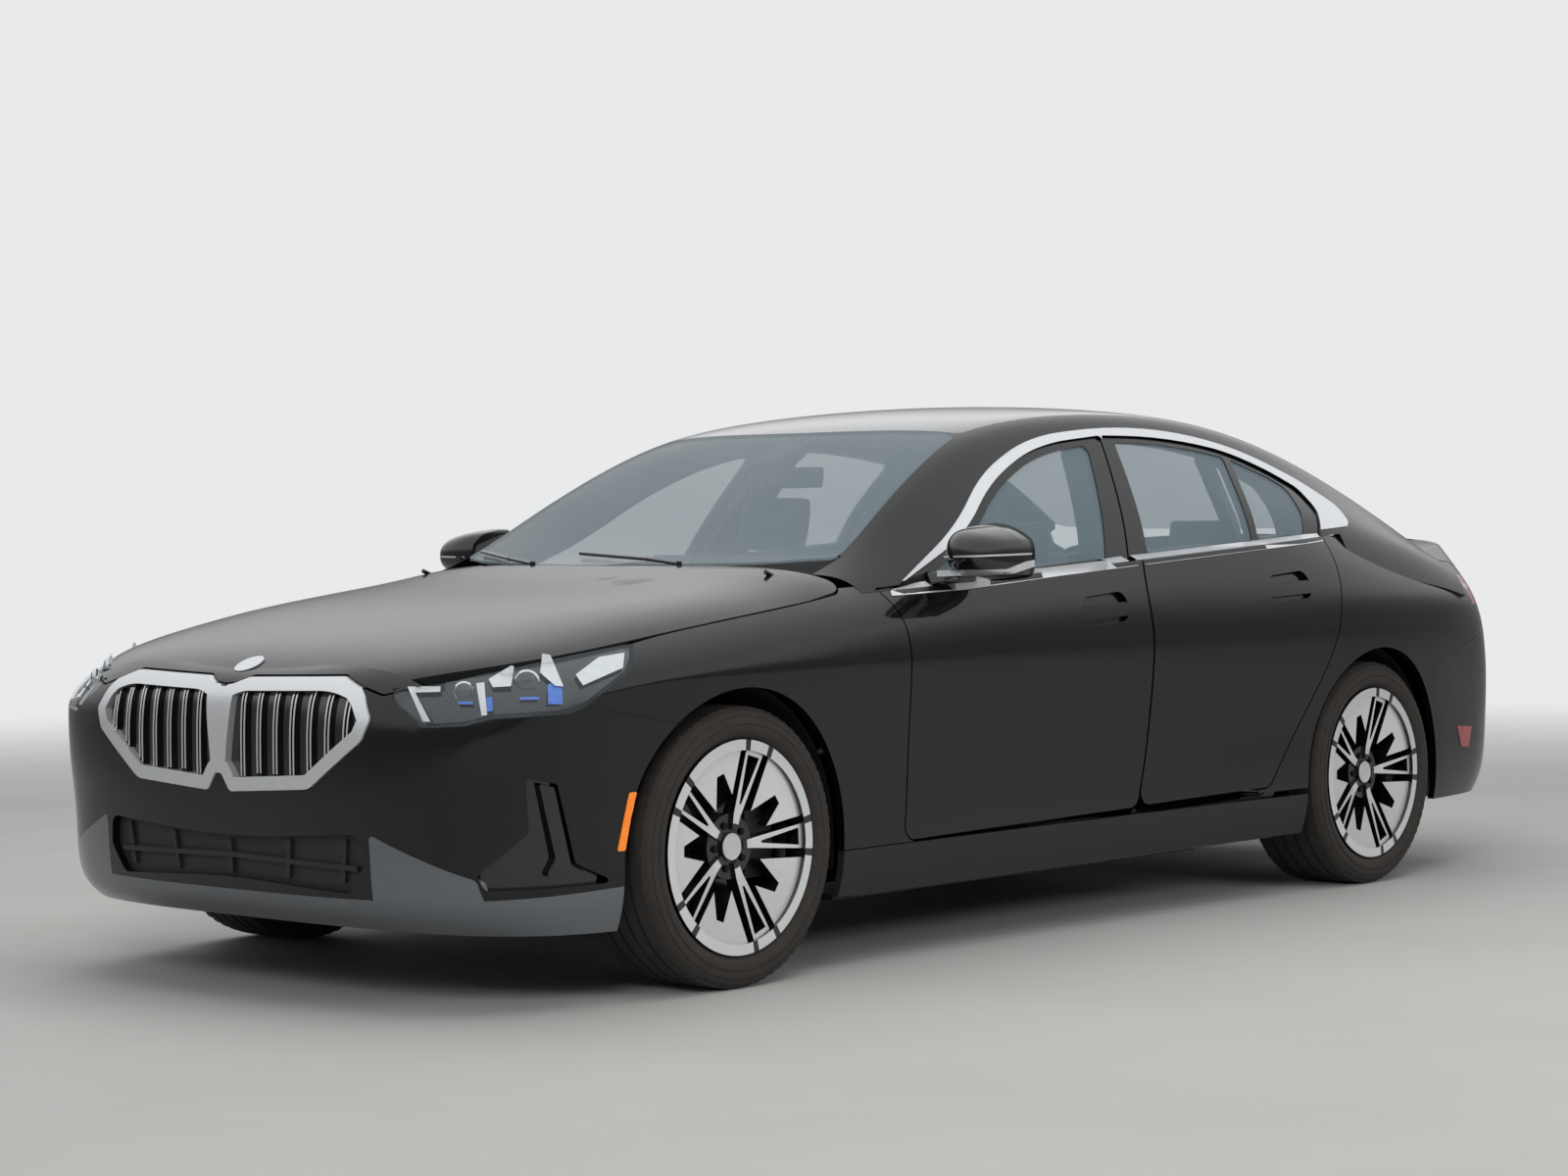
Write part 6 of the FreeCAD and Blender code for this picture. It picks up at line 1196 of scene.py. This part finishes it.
@dataclass
class Cabin:
    """Seats, headrests and screens, which show through the glass."""

    front_places: tuple[float, ...] = (-0.37, 0.37)
    seat_cushion: Cushion = Cushion((-0.440, 0.462), (0.34, 0.47, 0.125), -3.5, SEWN_CHANNELS)
    seat_back: Cushion = Cushion((-0.150, 0.760), (0.34, 0.56, 0.10), 72.5, SEWN_CHANNELS)
    seat_bolster: Cushion = Cushion((-0.430, 0.475), (0.10, 0.47, 0.13), -3.5)
    back_bolster: Cushion = Cushion((-0.170, 0.740), (0.09, 0.48, 0.13), 72.5)
    bolster_side: float = 0.205
    headrest: Cushion = Cushion((-0.035, 1.155), (0.26, 0.165, 0.085), 78.0, (), 0.35)
    pan_half: float = 0.225
    pan_section: Outline = ((-0.67, 0.36), (-0.21, 0.36), (-0.20, 0.42), (-0.66, 0.43))
    pan_edge: float = 4.0 * MM
    rail_side: float = 0.17
    rail_half: float = 20.0 * MM
    rail_foot: tuple[float, float] = (-0.62, -0.24)
    rail_head: tuple[float, float] = (-0.28, -0.58)
    rail_top: float = 0.37
    rail_edge: float = 3.0 * MM
    rear_places: tuple[float, ...] = (-0.3848, 0.0, 0.3848)
    rear_widths: tuple[float, ...] = (0.40, 0.33, 0.40)
    rear_cushion: Cushion = Cushion((0.665, 0.435), (0.40, 0.50, 0.15), -3.0, SEWN_CHANNELS)
    rear_back: Cushion = Cushion((1.075, 0.735), (0.40, 0.60, 0.13), 63.5, SEWN_CHANNELS)
    rear_headrest: Cushion = Cushion((1.222, 1.085), (0.235, 0.145, 0.075), 84.0, (), 0.35)
    fill: float = 0.75
    display_x: tuple[float, float] = (-0.875, -0.835)
    display_y: tuple[float, float] = (-0.62, 0.12)
    display_z: tuple[float, float] = (-15.0 * MM, 125.0 * MM)
    display_thickness: Triple = (-14.0 * MM, 0.0, 4.0 * MM)
    display_edges: tuple[float, float] = (12.0 * MM, 1.5 * MM)
    camera_set_back: float = 0.14
    camera_size: Triple = (0.11, 0.16, 0.055)
    camera_place: Triple = (0.02, 0.0, -0.045)
    mirror_size: Triple = (0.245, 0.062, 0.03)
    mirror_place: Triple = (0.075, 0.0, -0.100)
    moulded_crown: float = 0.25

    def build(self) -> None:
        """Makes the front seats, the rear bench and the screens."""
        for y in self.front_places:
            self.front_seat("left" if y < 0 else "right", y)
        self.rear_seat()
        self.screens()

    def lay(self, name: str, form: Cushion, y: float, node: str, width: Optional[float] = None) -> None:
        """Makes one padded cushion.

        Args:
            name: The piece's name.
            form: Its place, size and slope.
            y: Its place across the car.
            node: The solid that it stands for.
            width: Its width, where it isn't the form's own.
        """
        size = (width or form.size[0], *form.size[1:])
        shape = CRAFT.pillow(size, form.crown, form.channels)
        lean = math.radians(form.lean_deg)
        along = AFT * math.cos(lean) + UP * math.sin(lean)
        CRAFT.turn_to(shape, AFT * form.place[0] + ACROSS * y + UP * form.place[1], -ACROSS, along)
        made = CRAFT.smoothed(CRAFT.piece(name, shape, CABIN_HIDE, "car", [node]))

    def front_seat(self, side: str, y: float) -> None:
        """Makes one front seat: cushion, back, their bolsters, the headrest and the frame below.

        Args:
            side: The side of the car.
            y: The seat's place across the car.
        """
        node = "front_seats"
        self.lay(f"{side}_seat_cushion", self.seat_cushion, y, node)
        self.lay(f"{side}_seat_back", self.seat_back, y, node)
        for hand in (-1, 1):
            word = "inner" if hand * y < 0 else "outer"
            self.lay(f"{side}_seat_{word}_bolster", self.seat_bolster, y + hand * self.bolster_side, node)
            self.lay(f"{side}_back_{word}_bolster", self.back_bolster, y + hand * self.bolster_side, node)
        self.lay(f"{side}_headrest", self.headrest, y, node)
        self.seat_frame(side, y)

    def seat_frame(self, side: str, y: float) -> None:
        """Makes the seat's pan and rails, as far down as the floor.

        Args:
            side: The side of the car.
            y: The seat's place across the car.
        """
        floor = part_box("front_seats")[0].z
        outline = [Vector((x, y - self.pan_half, z)) for x, z in self.pan_section]
        shape = CRAFT.prism(outline, ACROSS * self.pan_half * 2, 0.0, self.pan_edge)
        CRAFT.piece(f"{side}_seat_pan", shape, GRAINED_PP, "car", ["front_seats"])
        for hand in (-1, 1):
            start = y + hand * self.rail_side - self.rail_half
            outline = [Vector((x, start, floor)) for x in self.rail_foot]
            outline += [Vector((x, start, self.rail_top)) for x in self.rail_head]
            shape = CRAFT.prism(outline, ACROSS * self.rail_half * 2, 0.0, self.rail_edge)
            word = "inner" if hand * y < 0 else "outer"
            CRAFT.piece(f"{side}_seat_{word}_rail", shape, COATED_STEEL, "car", ["front_seats"])

    def rear_seat(self) -> None:
        """Makes the rear bench: three places, each with cushion and back, and two headrests."""
        for word, y, width in zip(("left", "middle", "right"), self.rear_places, self.rear_widths):
            self.lay(f"rear_{word}_cushion", self.rear_cushion, y, "rear_bench", width)
            self.lay(f"rear_{word}_back", self.rear_back, y, "rear_bench", width)
        for word, y in zip(SIDES, self.front_places):
            self.lay(f"rear_{word}_headrest", self.rear_headrest, y, "rear_bench")

    def screens(self) -> None:
        """Makes the two joined displays on the dashboard, and the camera housing and mirror under the roof."""
        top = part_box("dashboard")[1].z
        (back, front), (left, right), (low, high) = self.display_x, self.display_y, self.display_z
        outline = [Vector((back, left, top + low)), Vector((back, right, top + low)),
                   Vector((front, right, top + high)), Vector((front, left, top + high))]
        shape = CRAFT.prism(outline, Vector(self.display_thickness), *self.display_edges)
        CRAFT.piece("driver_display", shape, SCREEN_BLACK, "car")
        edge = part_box("windscreen")[1].x - self.camera_set_back
        hit = solid_tree("windscreen").ray_cast(Vector((edge, 0.0, 2.0)), -UP)[0]
        shape = CRAFT.pillow(self.camera_size, self.moulded_crown)
        CRAFT.turn_to(shape, hit + Vector(self.camera_place), ACROSS, Vector((-1, 0, -0.45)))
        CRAFT.piece("camera_housing", shape, GRAINED_PP, "car")
        shape = CRAFT.pillow(self.mirror_size, self.moulded_crown)
        CRAFT.turn_to(shape, hit + Vector(self.mirror_place), ACROSS, Vector((0.12, 0, 1)))
        CRAFT.piece("inside_mirror", shape, GRAINED_PP, "car")


# Smooth pale screed of the studio: even and matt, with faint wide clouds
STUDIO_FLOOR = Finish("pale_studio_floor", "#B2B2AF", 0.7, grain=Grain.CAST, grain_mm=12.0, depth_mm=0.15,
                      second_colour="#ABABA8", patch_mm=900.0)


@dataclass(frozen=True)
class SoftBox:
    """One soft light: where it hangs, the point it faces, its sides in metres and its power in watts."""

    name: str
    place: Triple
    target: Triple
    width: float
    height: float
    power: float

    def hang(self) -> None:
        """Hangs the light. Its hard outline isn't mirrored in the paint: the sky stands for it there."""
        lamp = bpy.data.lights.new(self.name, "AREA")
        lamp.shape = "RECTANGLE"
        lamp.size, lamp.size_y = self.width, self.height
        lamp.energy = self.power
        holder = bpy.data.objects.new(self.name, lamp)
        holder.visible_glossy = False
        holder.location = self.place
        holder.rotation_euler = (Vector(self.target) - Vector(self.place)).to_track_quat("-Z", "Y").to_euler()
        bpy.context.scene.collection.objects.link(holder)


@dataclass
class Studio:
    """The pale floor, the soft lights and the camera of the photograph."""

    floor_side: float = 60.0
    fade_from: float = 5.0
    fade_to: float = 12.0
    sky_colour: str = "#E9EAEB"
    sky_rise: tuple[float, float] = (0.05, 0.34)
    horizon: float = 0.30
    zenith: float = 1.2
    daylight: float = 0.35
    position: Triple = (-7.5973, -6.2954, 1.1427)
    heading_deg: float = 41.2264
    tilt_deg: float = -1.0573
    roll_deg: float = -0.4891
    lens_mm: float = 74.5
    sensor_mm: float = 36.0
    soft_boxes: tuple[SoftBox, ...] = (
        SoftBox("overhead", (-0.5, 0.0, 5.6), (0.0, 0.0, 0.4), 9.0, 5.0, 280.0),
        SoftBox("front_left", (-7.5, -4.5, 4.0), (-1.0, 0.0, 0.6), 3.0, 2.0, 210.0),
        SoftBox("side_left", (1.0, -8.5, 3.4), (0.4, 0.0, 0.7), 6.0, 1.6, 230.0),
        SoftBox("rear_right", (6.5, 5.5, 3.8), (0.5, 0.0, 0.6), 3.0, 2.0, 150.0),
    )

    def build(self) -> None:
        """Makes the floor, the world, the lights and the camera."""
        self.floor()
        self.world()
        for box in self.soft_boxes:
            box.hang()
        self.camera()
        bpy.context.scene.view_settings.view_transform = "Standard"

    def floor(self) -> None:
        """Lays the pale floor under the tyres."""
        mesh = bpy.data.meshes.new("studio_floor")
        shape = bmesh.new()
        bmesh.ops.create_grid(shape, x_segments=1, y_segments=1, size=self.floor_side / 2)
        shape.to_mesh(mesh)
        shape.free()
        slab = bpy.data.objects.new("studio_floor", mesh)
        bpy.context.scene.collection.objects.link(slab)
        mesh.materials.append(self.fading(STUDIO_FLOOR.material()))

    def fading(self, made: bpy.types.Material) -> bpy.types.Material:
        """Lets the far floor fade into the background for the camera, so that no edge shows.

        Args:
            made: The floor's material, which is changed.

        Returns:
            The same material.
        """
        tree = made.node_tree
        place = add_node(tree, "ShaderNodeTexCoord")
        away = add_node(tree, "ShaderNodeVectorMath", {0: place.outputs["Object"]}, operation="LENGTH")
        share = add_node(tree, "ShaderNodeMapRange", {
            "Value": away.outputs["Value"], "From Min": self.fade_from, "From Max": self.fade_to,
        }, interpolation_type="SMOOTHSTEP")
        path = add_node(tree, "ShaderNodeLightPath")
        share = add_node(tree, "ShaderNodeMath", {0: share.outputs["Result"], 1: path.outputs["Is Camera Ray"]},
                         operation="MULTIPLY")
        clear = add_node(tree, "ShaderNodeBsdfTransparent")
        output = next(node for node in tree.nodes if node.type == "OUTPUT_MATERIAL")
        surface = output.inputs["Surface"].links[0].from_socket
        mixed = add_node(tree, "ShaderNodeMixShader", {
            0: share.outputs[0], 1: surface, 2: clear.outputs["BSDF"]})
        tree.links.new(mixed.outputs["Shader"], output.inputs["Surface"])
        return made

    def world(self) -> None:
        """Sets a white background for the camera, a bright sky for gloss and glass, and a dim one for light."""
        world = bpy.data.worlds.new("studio_world")
        world.use_nodes = True
        tree = world.node_tree
        tree.nodes.clear()
        path = add_node(tree, "ShaderNodeLightPath")
        way = add_node(tree, "ShaderNodeTexCoord")
        height = add_node(tree, "ShaderNodeSeparateXYZ", {"Vector": way.outputs["Generated"]})
        tent = add_node(tree, "ShaderNodeMapRange", {
            "Value": height.outputs["Z"], "From Min": self.sky_rise[0], "From Max": self.sky_rise[1],
            "To Min": self.horizon, "To Max": self.zenith,
        }, interpolation_type="SMOOTHSTEP")
        shown = add_node(tree, "ShaderNodeMath", {
            0: path.outputs["Is Glossy Ray"], 1: path.outputs["Is Transmission Ray"]}, operation="MAXIMUM")
        mirrored = add_node(tree, "ShaderNodeMapRange", {
            "Value": shown.outputs[0], "To Min": self.daylight, "To Max": tent.outputs["Result"]})
        strength = add_node(tree, "ShaderNodeMapRange", {
            "Value": path.outputs["Is Camera Ray"], "To Min": mirrored.outputs["Result"], "To Max": 1.0})
        sky = add_node(tree, "ShaderNodeBackground", {
            "Color": linear(self.sky_colour), "Strength": strength.outputs["Result"]})
        add_node(tree, "ShaderNodeOutputWorld", {"Surface": sky.outputs["Background"]})
        bpy.context.scene.world = world

    def camera(self) -> None:
        """Sets the camera where the photograph was taken from."""
        heading, tilt, roll = (math.radians(a) for a in (self.heading_deg, self.tilt_deg, self.roll_deg))
        ahead = Vector((math.cos(tilt) * math.cos(heading), math.cos(tilt) * math.sin(heading), math.sin(tilt)))
        right = ahead.cross(UP).normalized()
        up = right.cross(ahead)
        turned_right = right * math.cos(roll) + up * math.sin(roll)
        turned_up = up * math.cos(roll) - right * math.sin(roll)
        matrix = Matrix((turned_right, turned_up, -ahead)).transposed().to_4x4()
        matrix.translation = self.position
        lens = bpy.data.cameras.new("photo_camera")
        lens.sensor_fit = "HORIZONTAL"
        lens.sensor_width = self.sensor_mm
        lens.lens = self.lens_mm
        eye = bpy.data.objects.new("photo_camera", lens)
        eye.matrix_world = matrix
        bpy.context.scene.collection.objects.link(eye)
        bpy.context.scene.camera = eye


def main() -> None:
    """Builds the scene piece by piece."""
    logging.basicConfig(level=logging.INFO, format="%(message)s")
    Studio().build()
    log.info("studio ready")
    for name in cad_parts:
        dress(name, finish_of(name))
    log.info("%d carried-over nodes dressed", len(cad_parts))
    for part in (Wheels(), Tyres(), Grille(), Headlamps(), SmallTrim(), Cabin()):
        part.build()
        log.info("%s built", type(part).__name__)


if __name__ == "__main__":
    main()
